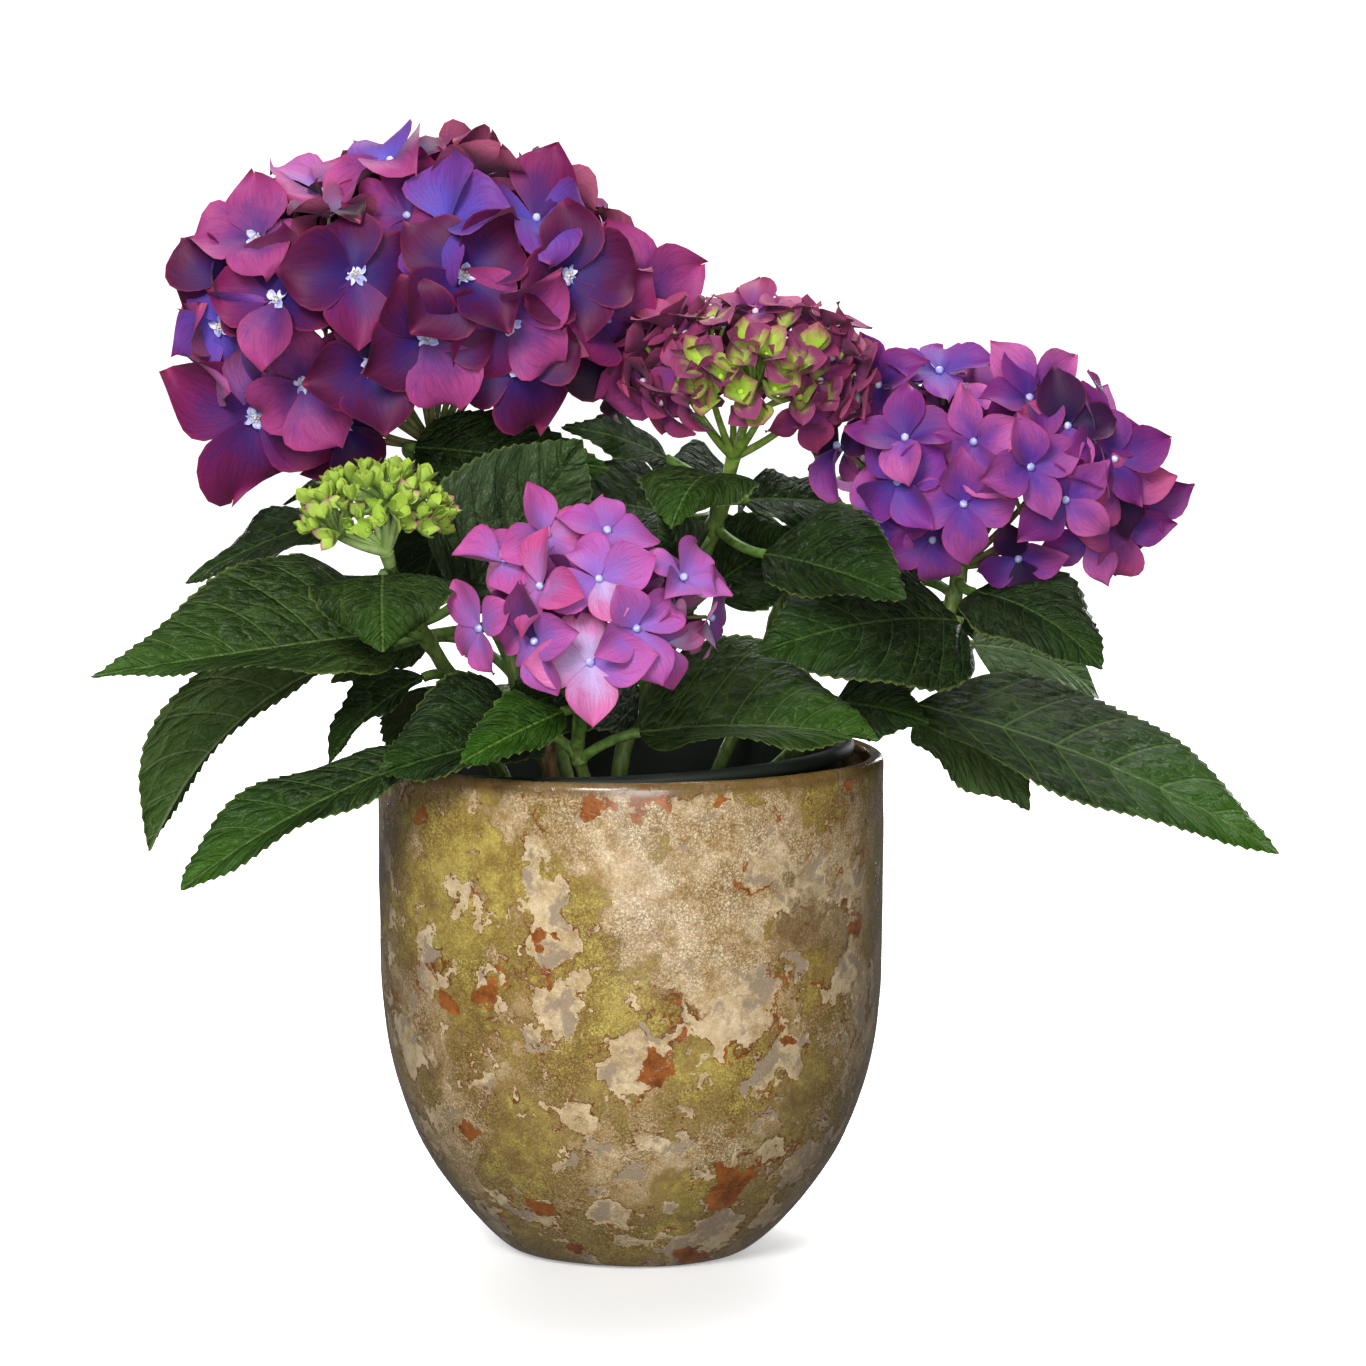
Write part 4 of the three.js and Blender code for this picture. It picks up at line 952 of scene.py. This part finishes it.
# Leaves
def blade_grid(leaf, settings, seed):
    """The blade's upper and lower points, its growth marks (across, share of the half width, vein phase), its
    places on the sheet for baking, and the direction in which it leaves its petiole."""
    pitch, depth, thickness, quilt = (
        size / MM for size in (settings.tooth_pitch, settings.tooth_depth, settings.thickness, settings.quilt)
    )
    base, tip, face = vec(leaf.base), vec(leaf.tip), unit(vec(leaf.face))
    chord = unit(tip - base)
    bend = (base + tip) / 2 + 2 * leaf.arch * unit(face - chord * face.dot(chord))
    length = np.linalg.norm(tip - base)
    rows = int(length / 0.95)
    t = np.linspace(0, 1, rows)[:, None]
    s = np.linspace(-1, 1, 27)[None, :]
    wide = np.abs(s)
    middle = bow(base, bend, tip, rows)
    along = unit(2 * (1 - t) * (bend - base) + 2 * t * (tip - bend))
    turn = ang(leaf.twist) * t
    up = face * np.cos(turn) + np.cross(along, face) * np.sin(turn)
    up += along * (along @ face)[:, None] * (1 - np.cos(turn))
    up = unit(up - along * np.sum(up * along, 1, keepdims=True))
    side = np.cross(along, up)
    half = np.maximum(leaf.width / 2 * swelling(t, *leaf.powers), 2.1 + (0.5 - 2.1) * t)
    # Teeth point to the tip, a few millimetres apart along the margin.
    rng = np.random.default_rng(seed)
    margin = np.concatenate([[0], np.cumsum(np.hypot(np.diff(half[:, 0]), length / (rows - 1)))])[:, None]
    saw = (margin / pitch + rng.uniform(0, 1, 2)[(s[0] > 0).astype(int)][None, :]) % 1.0
    bare = np.clip(np.minimum((t - 0.06) / 0.35, (1 - t) / 0.02), 0, 1)
    rim = (wide > 0.999) * depth * (saw - 0.35) * bare
    fold = ang(leaf.fold) * np.minimum(1, t * 5)
    reach = half * wide * np.where(s < 0, *leaf.shares)
    out = np.sign(s) * (reach * np.cos(fold) + rim)
    # Side veins run forward; the blade swells between them and dips along the midrib.
    sweep = 0.3 * min(1.25, leaf.width / length * 1.25)
    phase = (t - sweep * wide**1.15 * np.minimum(1, half / (0.3 * leaf.width))) * VEIN_PAIRS + 1.4
    bulge = (0.5 - 0.5 * np.cos(2 * math.pi * phase)) * np.minimum(1, wide * 4) * (1 - wide**3)
    bulge = bulge * np.minimum(1, half / 9) * leaf.swell * quilt
    wander = rng.uniform(0, 2 * math.pi, 4)
    ripple = wide**3 * np.minimum(1, half / 14) * 2.3 * np.sin(t * 12 + wander[0] + (s > 0) * wander[1])
    droop = 3.5 * wide**6 * np.minimum(1, half / 20) * (0.5 + 0.5 * np.sin(t * 7 + wander[2]))
    high = reach * np.sin(fold) + bulge + ripple - 0.0022 * reach**2 - droop
    upper = middle[:, None] + side[:, None] * out[..., None] + up[:, None] * high[..., None]
    thick = thickness + 1.5 * np.exp(-((reach / 1.3) ** 2)) * (1 - 0.8 * t)
    lower = upper - up[:, None] * thick[..., None]
    marks = np.stack(np.broadcast_arrays(out, s, phase), -1)
    sheet = np.stack(np.broadcast_arrays(0.25 + 0.23 * out / (leaf.width / 2), 0.12 + 0.86 * t), -1)
    return upper, lower, marks, sheet, along[0]


def leaf_shape(leaf, settings, seed):
    """A blade with its petiole."""
    *grids, ahead = blade_grid(leaf, settings, seed)
    points, top, under, marks, sheet = blade_skin(*grids)
    slots = [0] * len(top) + [1] * len(under)
    pairs = np.concatenate([sheet[top], sheet[under] * (-1, 1) + (1, 0)])
    bunch = Bunch()
    bunch.add(points, np.concatenate([top, under]), slots, marks, OFBake=pairs)
    # The petiole starts inside the cane and is a little thicker there.
    start, end = CURVES[leaf.cane](leaf.place), vec(leaf.base)
    bend = end - 0.45 * np.linalg.norm(end - start) * ahead
    radii = 2.0 + 0.9 * np.exp(-np.linspace(0, 1, 22) * 14)
    rod(bunch, bow(start, bend, end, 22), radii, 10, 2, (0.9, 0.07), (0.02, 0.02))
    return bunch


# Flower heads
def sepal(eye, axis, radial, length, width, habit, rng, rows=10, cols=7):
    """One sepal as two thin grids and its UV pairs: lifted from the eye, curling back, wavy at its edges."""
    v = np.linspace(0, 1, rows)[:, None]
    u = np.linspace(-1, 1, cols)[None, :]
    lift = ang(habit["lift"] + rng.normal(0, 10))
    curl = ang(habit["curl"] + rng.normal(0, 26))
    curl = curl if abs(curl) > 0.05 else 0.05
    slant = lift - curl * v
    out = length * (math.sin(lift) - np.sin(slant)) / curl
    rise = length * (np.cos(slant) - math.cos(lift)) / curl
    shape = swelling(v ** habit.get("belly", 1.35), habit["rise"], habit["fall"])
    half = width / 2 * np.maximum(shape, 0.12 * (1 - v) + 0.015)
    side = np.cross(radial, axis)
    normal = -radial * np.sin(slant) + axis * np.cos(slant)
    phase = 2 * math.pi * (v * 1.15 + rng.uniform(0, 1)) + (u > 0) * rng.uniform(0, 3)
    wave = habit["wave"] * width * np.sin(phase) * v
    dish = rng.normal(0.02, 0.09) * width
    proud = (wave + dish * np.sin(math.pi * v)) * u**2 + 0.3 * half * np.abs(u)
    turn = ang(rng.normal(0, 14)) * v
    cross = side * np.cos(turn) + normal * np.sin(turn)
    middle = eye + radial * out + axis * rise
    upper = middle[:, None] + cross[:, None] * (half * u)[..., None] + normal[:, None] * proud[..., None]
    lower = upper - normal[:, None] * 0.3
    pairs = np.stack(np.broadcast_arrays((u + 1) / 2, v), -1)
    return upper, lower, pairs


def floret(bunch, eye, axis, turn, size, habit, tint, back, rng):
    """Adds four sepals round an eye, the second pair tucked under the first. tint draws a sepal's material,
    and back is that of its underside."""
    up, side = square_to(axis)
    for k in range(4):
        a = ang(turn + 90 * k + rng.normal(0, 6))
        radial = side * math.cos(a) + up * math.sin(a)
        length = size * rng.uniform(0.88, 1.08)
        width = length * habit["width"] * rng.uniform(0.9, 1.08)
        base = eye + axis * (0.5 if k % 2 else -0.4) + radial * 0.8
        points, top, under, pairs = blade_skin(*sepal(base, axis, radial, length, width, habit, rng))
        front = tint(rng)
        faces = np.concatenate([top, under])
        sheet = np.concatenate([tile(pairs[top], front), tile(pairs[under], back)])
        bunch.add(points, faces, [front] * len(top) + [back] * len(under), petal=pairs[faces], OFBake=sheet)


def star_eye(bunch, eye, axis, turn, rng):
    """Adds the true flower in the middle of a wine floret: four blue-white petals round cream stamens."""
    up, side = square_to(axis)
    for k in range(4):
        a = ang(turn + 45 + 90 * k)
        radial = side * math.cos(a) + up * math.sin(a)
        petal = sepal(eye + axis * 1.2, axis, radial, 5.4, 3.8, STAR_HABIT, rng, 6, 5)
        points, top, under, pairs = blade_skin(*petal)
        faces = np.concatenate([top, under])
        bunch.add(points, faces, 0, OFBake=tile(pairs[faces], 0))
    for k in range(6):
        a = k * 1.05
        radial = side * math.cos(a) + up * math.sin(a)
        lump(bunch, eye + axis * 3.2 + radial * 1.4, axis, (0.5, 0.6), 1, 1, 6, 3)
    lump(bunch, eye + axis * 2.2, axis, (1.0, 1.2), 1, 1, 6, 3)


def outward(offset, reach):
    """The direction square to an ellipsoid's skin at an offset from its centre."""
    return unit(offset / vec(reach) ** 2)


def on_skin(reach, height, turn, pinch=0.0):
    """An ellipsoid's point at a share of its height. pinch: how much narrower it grows to its top."""
    ring = math.sqrt(1 - height * height) * (1 - pinch * max(0, height))
    return vec(reach) * (ring * math.cos(turn), ring * math.sin(turn), height)


def on_front(reach, x, z, least):
    """An ellipsoid's front point at an offset sideways and up. least keeps it in front at the rim."""
    a, b, c = reach
    return vec((x, -b * math.sqrt(max(least, 1 - (x / a) ** 2 - (z / c) ** 2)), z))


def fill_places(head, spacing, shell, start):
    """Golden-angle places all over a head's ellipsoid, above its lowest florets, each with a turn."""
    reach = vec(head["reach"]) * shell
    count = round(4 * math.pi * reach.prod() ** (2 / 3) / spacing**2)
    for i in range(count):
        height = 1 - 2 * (i + 0.5) / count
        if height >= head["lowest"]:
            yield on_skin(reach, height, i * GOLDEN_ANGLE + start, 0.12), i * 37


def head_places(head, finer):
    """The florets read from the picture, the fill of the rest, and a finer layer inside it: offset, turn,
    share of the full size, and axis."""
    reach, spacing = head["reach"], head["spacing"]
    a, _, c = reach
    places = []
    for x, z, turn, *more in head["placed"]:
        rim = min(1, math.hypot(x / a, z / c))
        share = more[0] if more else 1 - 0.1 * rim
        if len(more) > 1:
            look = more[1]
        elif z < -0.45 * c:
            look = 2.4
        elif z > 0.5 * c:
            look = head["crown"]
        else:
            look = 0.1 + 0.9 * (1 - rim)
        offset = on_front(reach, x, z, 0.12)
        places.append((offset, turn, share, unit(outward(offset, reach) + look * vec((0, -1, 0.12)))))
    for offset, turn in fill_places(head, spacing * 0.88, 0.85, 0.4):
        if all(np.linalg.norm(place[0] - offset) > spacing * 0.56 for place in places):
            places.append((offset, turn, 0.86, outward(offset, reach)))
    for offset, turn in fill_places(head, spacing * finer, 0.66, 1.1):
        places.append((offset, turn, 0.8, outward(offset, reach)))
    return places


def pedicels(bunch, hub, eyes, thin, count, thick):
    """Adds a head's stalks: thick rays from the hub, and from their ends the fine stalks of the florets."""
    eyes = np.array(eyes)
    ends = eyes[:: max(1, len(eyes) // count)]
    ends = hub + (ends - hub) * 0.62
    for end in ends:
        middle = hub + (end - hub) * 0.5 + vec((0, 0, -0.08)) * np.linalg.norm(end - hub)
        rod(bunch, bow(hub, middle, end, 9), np.linspace(thick, thick * 0.7, 9), 8)
    for eye in eyes:
        start = ends[np.argmin(np.linalg.norm(ends - eye, axis=1))]
        middle = (start + eye) / 2 + (eye - hub) * 0.06
        rod(bunch, bow(start, middle, eye, 6), np.linspace(thin * 1.3, thin, 6), 6)


def rays(head, name, spots, foot, thin, count, thick, shades):
    """The stalks of a head that isn't open yet, with the short stalk from its cane's tip to its hub."""
    hub = vec(head["hub"])
    stalks = Bunch()
    rod(stalks, [CURVES[head["cane"]](1.0), hub], [foot, 3.0], 10)
    pedicels(stalks, hub, spots, thin, count, thick)
    stalks.piece(f"rays_{name}", [plain_tissue(*shades)], f"bloom_{name}")


# Settings
def colour_setting(name, description, default):
    """A colour for the panel, given as sRGB hex."""
    return bpy.props.FloatVectorProperty(
        name=name, description=description, subtype="COLOR", size=4, min=0, max=1, default=linear(default)
    )


def size_setting(name, description, default, least):
    """A length for the panel, given in millimetres."""
    return bpy.props.FloatProperty(
        name=name, description=description, unit="LENGTH", precision=5, default=default * MM, min=least * MM
    )


class PotSettings(bpy.types.PropertyGroup):
    olive_dark: colour_setting("Olive, dark", "Darker tone of the olive glaze", "#9d8042")
    olive_light: colour_setting("Olive, light", "Lighter tone of the olive glaze", "#d0bc62")
    buff_dark: colour_setting("Buff, dark", "Darker tone of the buff glaze", "#ba965f")
    buff_light: colour_setting("Buff, light", "Lighter tone of the buff glaze", "#f4dcb4")
    craze: colour_setting("Craze lines", "Colour of the fine cracks", "#5e4419")
    craze_cell: size_setting("Craze cell", "Width of a cell between cracks", 1.35, 0.5)
    sides: bpy.props.IntProperty(
        name="Sides", description="Points round the pot before smoothing", default=72, min=24
    )


class LeafSettings(bpy.types.PropertyGroup):
    tooth_pitch: size_setting("Tooth pitch", "Spacing of the margin's teeth", 4.9, 1)
    tooth_depth: size_setting("Tooth depth", "Depth of a tooth", 1.9, 0)
    thickness: size_setting("Thickness", "Blade thickness", 0.45, 0.2)
    quilt: size_setting("Quilting", "Swell between side veins", 1.5, 0)


class HeadSettings(bpy.types.PropertyGroup):
    finer: bpy.props.FloatProperty(
        name="Inner spacing", description="Spacing of the inner florets, as a share of the outer",
        subtype="FACTOR", default=0.62, min=0.3, max=1,
    )
    seed: bpy.props.IntProperty(name="Seed", description="Chooses tints and small irregularities", default=11)


# Operators
class HYDRANGEA_OT_cover_pot(bpy.types.Operator):
    """Builds the rounded cover pot with its crackle glaze"""

    bl_idname = "hydrangea.cover_pot"
    bl_label = "Cover Pot"

    def execute(self, context):
        settings = context.scene.hydrangea_pot
        pot = turn_profile("cover_pot_glazed", pot_profile(), settings.sides)
        apply_modifier(pot, "SUBSURF", levels=2, render_levels=2)
        uneven(pot, 35, 1.2)
        smooth(pot)
        turned_map(pot)
        pot.data.materials.append(glaze(settings))
        settle(pot, ["cover_pot"])
        return {"FINISHED"}


class HYDRANGEA_OT_grow_pot(bpy.types.Operator):
    """Builds the plastic grow pot that leans in the cover pot"""

    bl_idname = "hydrangea.grow_pot"
    bl_label = "Grow Pot"

    def execute(self, context):
        pot = turn_profile("grow_pot_moulded", grow_pot_profile(), 72)
        apply_modifier(pot, "BEVEL", width=0.5 * MM, segments=2, limit_method="ANGLE", angle_limit=ang(50))
        tilt(pot)
        smooth(pot)
        pot.data.materials.append(moulded_plastic())
        settle(pot, ["grow_pot"])
        return {"FINISHED"}


class HYDRANGEA_OT_compost(bpy.types.Operator):
    """Builds the peat compost with its crumbs"""

    bl_idname = "hydrangea.compost"
    bl_label = "Compost"

    def execute(self, context):
        bed = turn_profile("compost_bed", COMPOST_TOP, 48)
        apply_modifier(bed, "SUBSURF", levels=2, render_levels=2)
        uneven(bed, 9, 5)
        tilt(bed)
        smooth(bed)
        bed.data.materials.append(peat("peat_bed", "#120c08", "#33241a"))
        settle(bed, ["compost"])
        # Crumbs lie on the dome, which leans with its pot.
        rng = np.random.default_rng(CRUMBS["seed"])
        spread, crown, sag = CRUMBS["spread"], CRUMBS["crown"], CRUMBS["sag"]
        crumbs = Bunch()
        for _ in range(CRUMBS["count"]):
            turn, out = rng.uniform(0, 2 * math.pi), spread * math.sqrt(rng.uniform(0, 1))
            x, y = out * math.cos(turn), out * math.sin(turn)
            high = crown - sag * (out / spread) ** 2 + x * math.tan(ang(GROW_TILT[0])) + rng.uniform(-0.5, 1)
            size = rng.uniform(0.7, 2.4)
            axis, radii = unit(rng.normal(size=3)), (size, size * rng.uniform(0.5, 1.4))
            lump(crumbs, vec((x, y, high)), axis, radii, int(rng.integers(3)), int(rng.integers(9)), 6, 3)
        tones = [
            peat("peat_dark", "#16100a", "#2c1e14"), peat("peat_brown", "#2e2014", "#4a3220"),
            peat("bark_bit", "#4a3626", "#6e5238"),
        ]
        crumbs.piece("compost_crumbs", tones, "compost")
        return {"FINISHED"}


class HYDRANGEA_OT_canes(bpy.types.Operator):
    """Builds the seven canes and the dry stub, with a swelling at each leaf joint"""

    bl_idname = "hydrangea.canes"
    bl_label = "Canes"

    def execute(self, context):
        green = bark("young_green_bark", "#48602a", "#7e9648", 0.5, 520)
        for name, (points, radii) in CANES.items():
            knots = [leaf.place for leaf in LEAVES.values() if leaf.cane == name]
            settle(stem(f"cane_{name}_bark", CURVES[name], radii, knots, green), [f"cane_{name}"])
        foot, tip, radii = DRY_STUB
        brown = bark("dry_brown_bark", "#3a2818", "#8a6a48", 0.85, 420)
        stub = stem("dry_stub_bark", lambda t: vec(foot) * (1 - t) + vec(tip) * t, radii, (0.55, 0.97), brown)
        settle(stub, ["dry_stub"])
        return {"FINISHED"}


class HYDRANGEA_OT_leaves(bpy.types.Operator):
    """Builds every leaf with its petiole, toothed margin, quilting and veins"""

    bl_idname = "hydrangea.leaves"
    bl_label = "Leaves"

    def execute(self, context):
        settings = context.scene.hydrangea_leaf
        surfaces = {tone: (leaf_surface(tone, False), leaf_surface(tone, True)) for tone in LEAF_TONES}
        stalk = plain_tissue("petiole_green", "#4c6c2c", "#789a4a", 0.45)
        for seed, (name, leaf) in enumerate(LEAVES.items(), FIRST_LEAF_SEED):
            bunch = leaf_shape(leaf, settings, seed)
            bunch.piece(f"leaf_{name}_blade", [*surfaces[leaf.tone], stalk], "leaf", [f"leaf_{name}"])
        return {"FINISHED"}


class HYDRANGEA_OT_open_heads(bpy.types.Operator):
    """Builds the three open flower heads: sepals, eyes and stalks"""

    bl_idname = "hydrangea.open_heads"
    bl_label = "Open Heads"

    def execute(self, context):
        settings = context.scene.hydrangea_head
        green = plain_tissue("pedicel_green", "#5c7a34", "#8f7a5c")
        eye_white = plain_tissue("eye_blue_white", "#8f9ae6", "#e4e6fa", 0.4, 420)
        cream = plain_tissue("stamen_cream", "#d8d4c0", "#f4eedc")
        for number, (name, head) in enumerate(HEADS.items()):
            rng = np.random.default_rng(settings.seed + number)
            materials = [sepal_surface(f"sepal_{name}_{k}", *pair) for k, pair in enumerate(head["tints"])]
            materials.append(sepal_surface(f"sepal_{name}_reverse", *head["reverse"]))
            reverse = len(head["tints"])
            painted_shade = reverse - 1

            def draw(r, weights=head["weights"], count=reverse):
                return int(r.choice(count, p=weights))

            centre, top = vec(head["centre"]), head["reach"][2]
            petals, eyes, spots = Bunch(), Bunch(), []
            for offset, turn, share, axis in head_places(head, settings.finer):
                front = share > 0.88 and offset[2] < 0.25 * top
                axis = unit(axis + rng.normal(0, 0.15 if front else 0.32, 3))
                eye = centre + offset
                outer = share > 0.82
                # The florets of the inner layer all take the painted shade tint.
                main = draw(rng) if outer else painted_shade

                def tint(r, main=main, draw=draw):
                    return main if r.uniform() < 0.8 else draw(r)

                floret(petals, eye, axis, turn, head["floret"] * share, head["habit"], tint, reverse, rng)
                if head["eye"] == "star" and outer and offset[2] < 0.4 * top:
                    star_eye(eyes, eye, axis, turn, rng)
                else:
                    lump(eyes, eye + axis * 1.3, axis, (1.7, 1.5), 0, 0)
                spots.append(eye - axis * 0.8)
            petals.piece(f"sepals_{name}", materials, f"bloom_{name}", [f"bloom_{name}"])
            eyes.piece(f"eyes_{name}", [eye_white, cream], f"bloom_{name}")
            stalks = Bunch()
            pedicels(stalks, CURVES[head["cane"]](1.0), spots, 0.75, 14, 1.5)
            stalks.piece(f"pedicels_{name}", [green], f"bloom_{name}")
        return {"FINISHED"}


class HYDRANGEA_OT_half_open_head(bpy.types.Operator):
    """Builds the half-open head: raspberry florets round lime cups on green rays"""

    bl_idname = "hydrangea.half_open_head"
    bl_label = "Half Open Head"

    def execute(self, context):
        head = HALF_OPEN
        rng = np.random.default_rng(head["seed"])
        centre, reach = vec(head["centre"]), head["reach"]
        petals, eyes, spots = Bunch(), Bunch(), []

        def grow(offset, axis, turn, size, kind):
            """A floret with its bead. kind: habit, tints, underside, the bead's place, size and finish."""
            habit, tints, back, proud, bead, finish = kind
            eye = centre + offset
            floret(petals, eye, axis, turn, size, habit, lambda r: int(r.choice(tints)), back, rng)
            lump(eyes, eye + axis * proud, axis, bead, finish, finish)
            spots.append(eye)

        raspberry = (head["wide"], [0, 0, 0, 1, 0, 3], 4, 1.0, (1.5, 1.4), 0)
        lime = (head["cup"], [2, 2, 3, 3], 2, 1.2, (1.4, 1.5), 1)
        for x, z, turn in head["open"]:
            offset = on_front(reach, x, z, 0.02)
            grow(offset, unit(outward(offset, reach) + rng.normal(0, 0.2, 3)), turn, 19, raspberry)
        for x, z in head["cups"]:
            offset = on_front(reach, x, z, 0.02) * (0.9, 1.0, 0.9)
            axis = unit(outward(offset, reach) * 0.5 + vec((0, -0.45, 0.6)) + rng.normal(0, 0.15, 3))
            grow(offset, axis, rng.uniform(0, 90), 13.5, lime)
        for i in range(head["behind"]):
            height = 1 - 1.4 * (i + 0.5) / head["behind"]
            offset = on_skin(reach, height, i * GOLDEN_ANGLE) * 0.88
            if offset[1] >= -reach[1] * 0.72:
                grow(offset, unit(outward(offset, reach) + rng.normal(0, 0.2, 3)), i * 31, 14.5, raspberry)
        materials = [
            sepal_surface("sepal_raspberry", "#743078", "#943a62"),
            sepal_surface("sepal_raspberry_pale", "#a05a8c", "#ac4870"),
            sepal_surface("sepal_lime_cup", "#b4d24e", "#a05068", None, 0.42, 1.2),
            sepal_surface("sepal_lime_plum", "#a8c64c", "#883a64", None, 0.12, 0.8),
            sepal_surface("sepal_raspberry_back", "#7a3466", "#8e4066"),
        ]
        petals.piece("sepals_half_open", materials, "bloom_half_open", ["bloom_half_open"])
        pink = plain_tissue("eye_pale_pink", "#c8a0b8", "#e8d8e0")
        green = plain_tissue("eye_lime", "#a8cc40", "#c8e060")
        eyes.piece("eyes_half_open", [pink, green], "bloom_half_open")
        rays(head, "half_open", spots, 2.7, 0.85, 8, 1.7, ("ray_green", "#6e9038", "#9cb852"))
        return {"FINISHED"}


class HYDRANGEA_OT_bud_head(bpy.types.Operator):
    """Builds the green head of crowded lime buds with rosy tips"""

    bl_idname = "hydrangea.bud_head"
    bl_label = "Bud Head"

    def execute(self, context):
        head = BUD_HEAD
        rng = np.random.default_rng(head["seed"])
        centre, reach = vec(head["centre"]), head["reach"]
        buds, spots = Bunch(), []
        for i in range(head["buds"]):
            height = 1 - (1 - head["lowest"]) * (i + 0.5) / head["buds"]
            offset = on_skin(reach, height, i * GOLDEN_ANGLE) * rng.uniform(0.78, 1.12)
            axis = unit(outward(offset, reach) + vec((0, 0, 0.7)) + rng.normal(0, 0.2, 3))
            rosy = int(rng.uniform() < (0.55 if height < 0.25 else 0.18))
            eye = centre + offset
            turn, size = rng.uniform(0, 90), rng.uniform(5.2, 9.0)
            floret(buds, eye, axis, turn, size, head["cup"], lambda r, k=rosy: k, 2, rng)
            lump(buds, eye + axis * 1.2, axis, (1.5, 1.7), 2, 2, 6, 3)
            buds.maps["petal"].append(np.full_like(buds.maps["OFBake"][-1], 0.5))
            spots.append(eye)
        materials = [
            sepal_surface("bud_lime", "#b6cf56", "#a2c246"),
            sepal_surface("bud_lime_rosy", "#acc652", "#a8c456", "#b06a7c"),
            sepal_surface("bud_inner_lime", "#8cac3c", "#a2c04c"),
        ]
        buds.piece("buds_green", materials, "bloom_green_bud", ["bloom_green_bud"])
        rays(head, "green_bud", spots, 2.5, 0.9, 9, 1.9, ("ray_pale_green", "#8fae58", "#b4cc80"))
        return {"FINISHED"}


def backdrop(sweep, name, shadow_glow):
    """A white studio surface that glows: weaker under the plant on the floor, as a painted shadow in front of
    the pot, and full white farther out.
    """
    sweep.name = name
    material, add = new_material(name + "_white")
    # Painted shadow: the emission is weakest in an ellipse just in front of the pot and rises to full white
    # around it.
    away = add("Mapping", add("TexCoord", out="Object"), (0, 0.07, 0), None, (1.5, 0.8, 1))
    glow_with_painted_shadow = add("MapRange SMOOTHSTEP", add("VectorMath LENGTH", away), 0.05, 0.22, shadow_glow, 1.1)
    add("OutputMaterial", add("BsdfPrincipled", named={
        "Base Color": (0.9, 0.9, 0.9, 1), "Roughness": 0.9, "Specular IOR Level": 0.1,
        "Emission Color": (1, 1, 1, 1), "Emission Strength": glow_with_painted_shadow,
    }))
    sweep.data.materials.append(material)
    sweep.visible_diffuse = sweep.visible_glossy = False


class HYDRANGEA_OT_stage(bpy.types.Operator):
    """Sets the pale floor, the soft studio lights and the camera"""

    bl_idname = "hydrangea.stage"
    bl_label = "Stage"

    def execute(self, context):
        bpy.ops.object.select_all(action="DESELECT")
        bpy.ops.mesh.primitive_plane_add(size=14)
        # The floor's weak emission of 0.3 near the pot paints a soft shadow in front of it.
        backdrop(bpy.context.active_object, "studio_floor", 0.3)
        bpy.ops.object.select_all(action="DESELECT")
        bpy.ops.mesh.primitive_cylinder_add(
            vertices=96, radius=6.8, depth=9, end_fill_type="NOTHING", location=(0, 0, 4.4)
        )
        backdrop(bpy.context.active_object, "studio_wall", 1.1)
        world = bpy.data.worlds.new("studio")
        world.use_nodes = True
        background = world.node_tree.nodes["Background"].inputs
        background["Color"].default_value = (1, 1, 1, 1)
        background["Strength"].default_value = 0.1
        context.scene.world = world
        for name, (place, aim, size, power) in LAMPS.items():
            lamp = bpy.data.lights.new(name, "AREA")
            lamp.shape, lamp.size, lamp.energy = "SQUARE", size, power
            obj = bpy.data.objects.new(name, lamp)
            obj.location = place
            towards = Vector((0, 0, aim)) - Vector(place)
            obj.rotation_euler = towards.to_track_quat("-Z", "Y").to_euler()
            context.scene.collection.objects.link(obj)
        camera = bpy.data.cameras.new("camera")
        camera.sensor_width, camera.lens = FILM_WIDTH, FILM_WIDTH * FOCAL_PIXELS / PHOTO_PIXELS
        camera.clip_start, camera.clip_end = 0.1, 50
        obj = bpy.data.objects.new("camera", camera)
        obj.location = CAMERA_PLACE
        obj.rotation_euler = (ang(CAMERA_PITCH), 0, 0)
        context.scene.collection.objects.link(obj)
        context.scene.camera = obj
        context.scene.view_settings.view_transform = "Standard"
        return {"FINISHED"}


OPERATORS = (
    HYDRANGEA_OT_cover_pot, HYDRANGEA_OT_grow_pot, HYDRANGEA_OT_compost, HYDRANGEA_OT_canes,
    HYDRANGEA_OT_leaves, HYDRANGEA_OT_open_heads, HYDRANGEA_OT_half_open_head, HYDRANGEA_OT_bud_head,
    HYDRANGEA_OT_stage,
)


class HYDRANGEA_PT_panel(bpy.types.Panel):
    bl_label = "Potted Hydrangea"
    bl_idname = "HYDRANGEA_PT_panel"
    bl_space_type = "VIEW_3D"
    bl_region_type = "UI"
    bl_category = "Hydrangea"

    def draw(self, context):
        scene = context.scene
        for group in (scene.hydrangea_pot, scene.hydrangea_leaf, scene.hydrangea_head):
            box = self.layout.box()
            for name in group.__annotations__:
                box.prop(group, name)
        for operator in OPERATORS:
            self.layout.operator(operator.bl_idname)


CLASSES = (PotSettings, LeafSettings, HeadSettings, *OPERATORS, HYDRANGEA_PT_panel)


def register():
    for cls in CLASSES:
        bpy.utils.register_class(cls)
    bpy.types.Scene.hydrangea_pot = bpy.props.PointerProperty(type=PotSettings)
    bpy.types.Scene.hydrangea_leaf = bpy.props.PointerProperty(type=LeafSettings)
    bpy.types.Scene.hydrangea_head = bpy.props.PointerProperty(type=HeadSettings)


def unregister():
    del bpy.types.Scene.hydrangea_pot
    del bpy.types.Scene.hydrangea_leaf
    del bpy.types.Scene.hydrangea_head
    for cls in reversed(CLASSES):
        bpy.utils.unregister_class(cls)


def main():
    register()
    for operator in OPERATORS:
        getattr(bpy.ops.hydrangea, operator.bl_idname.split(".")[1])()
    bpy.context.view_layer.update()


if __name__ == "__main__":
    main()
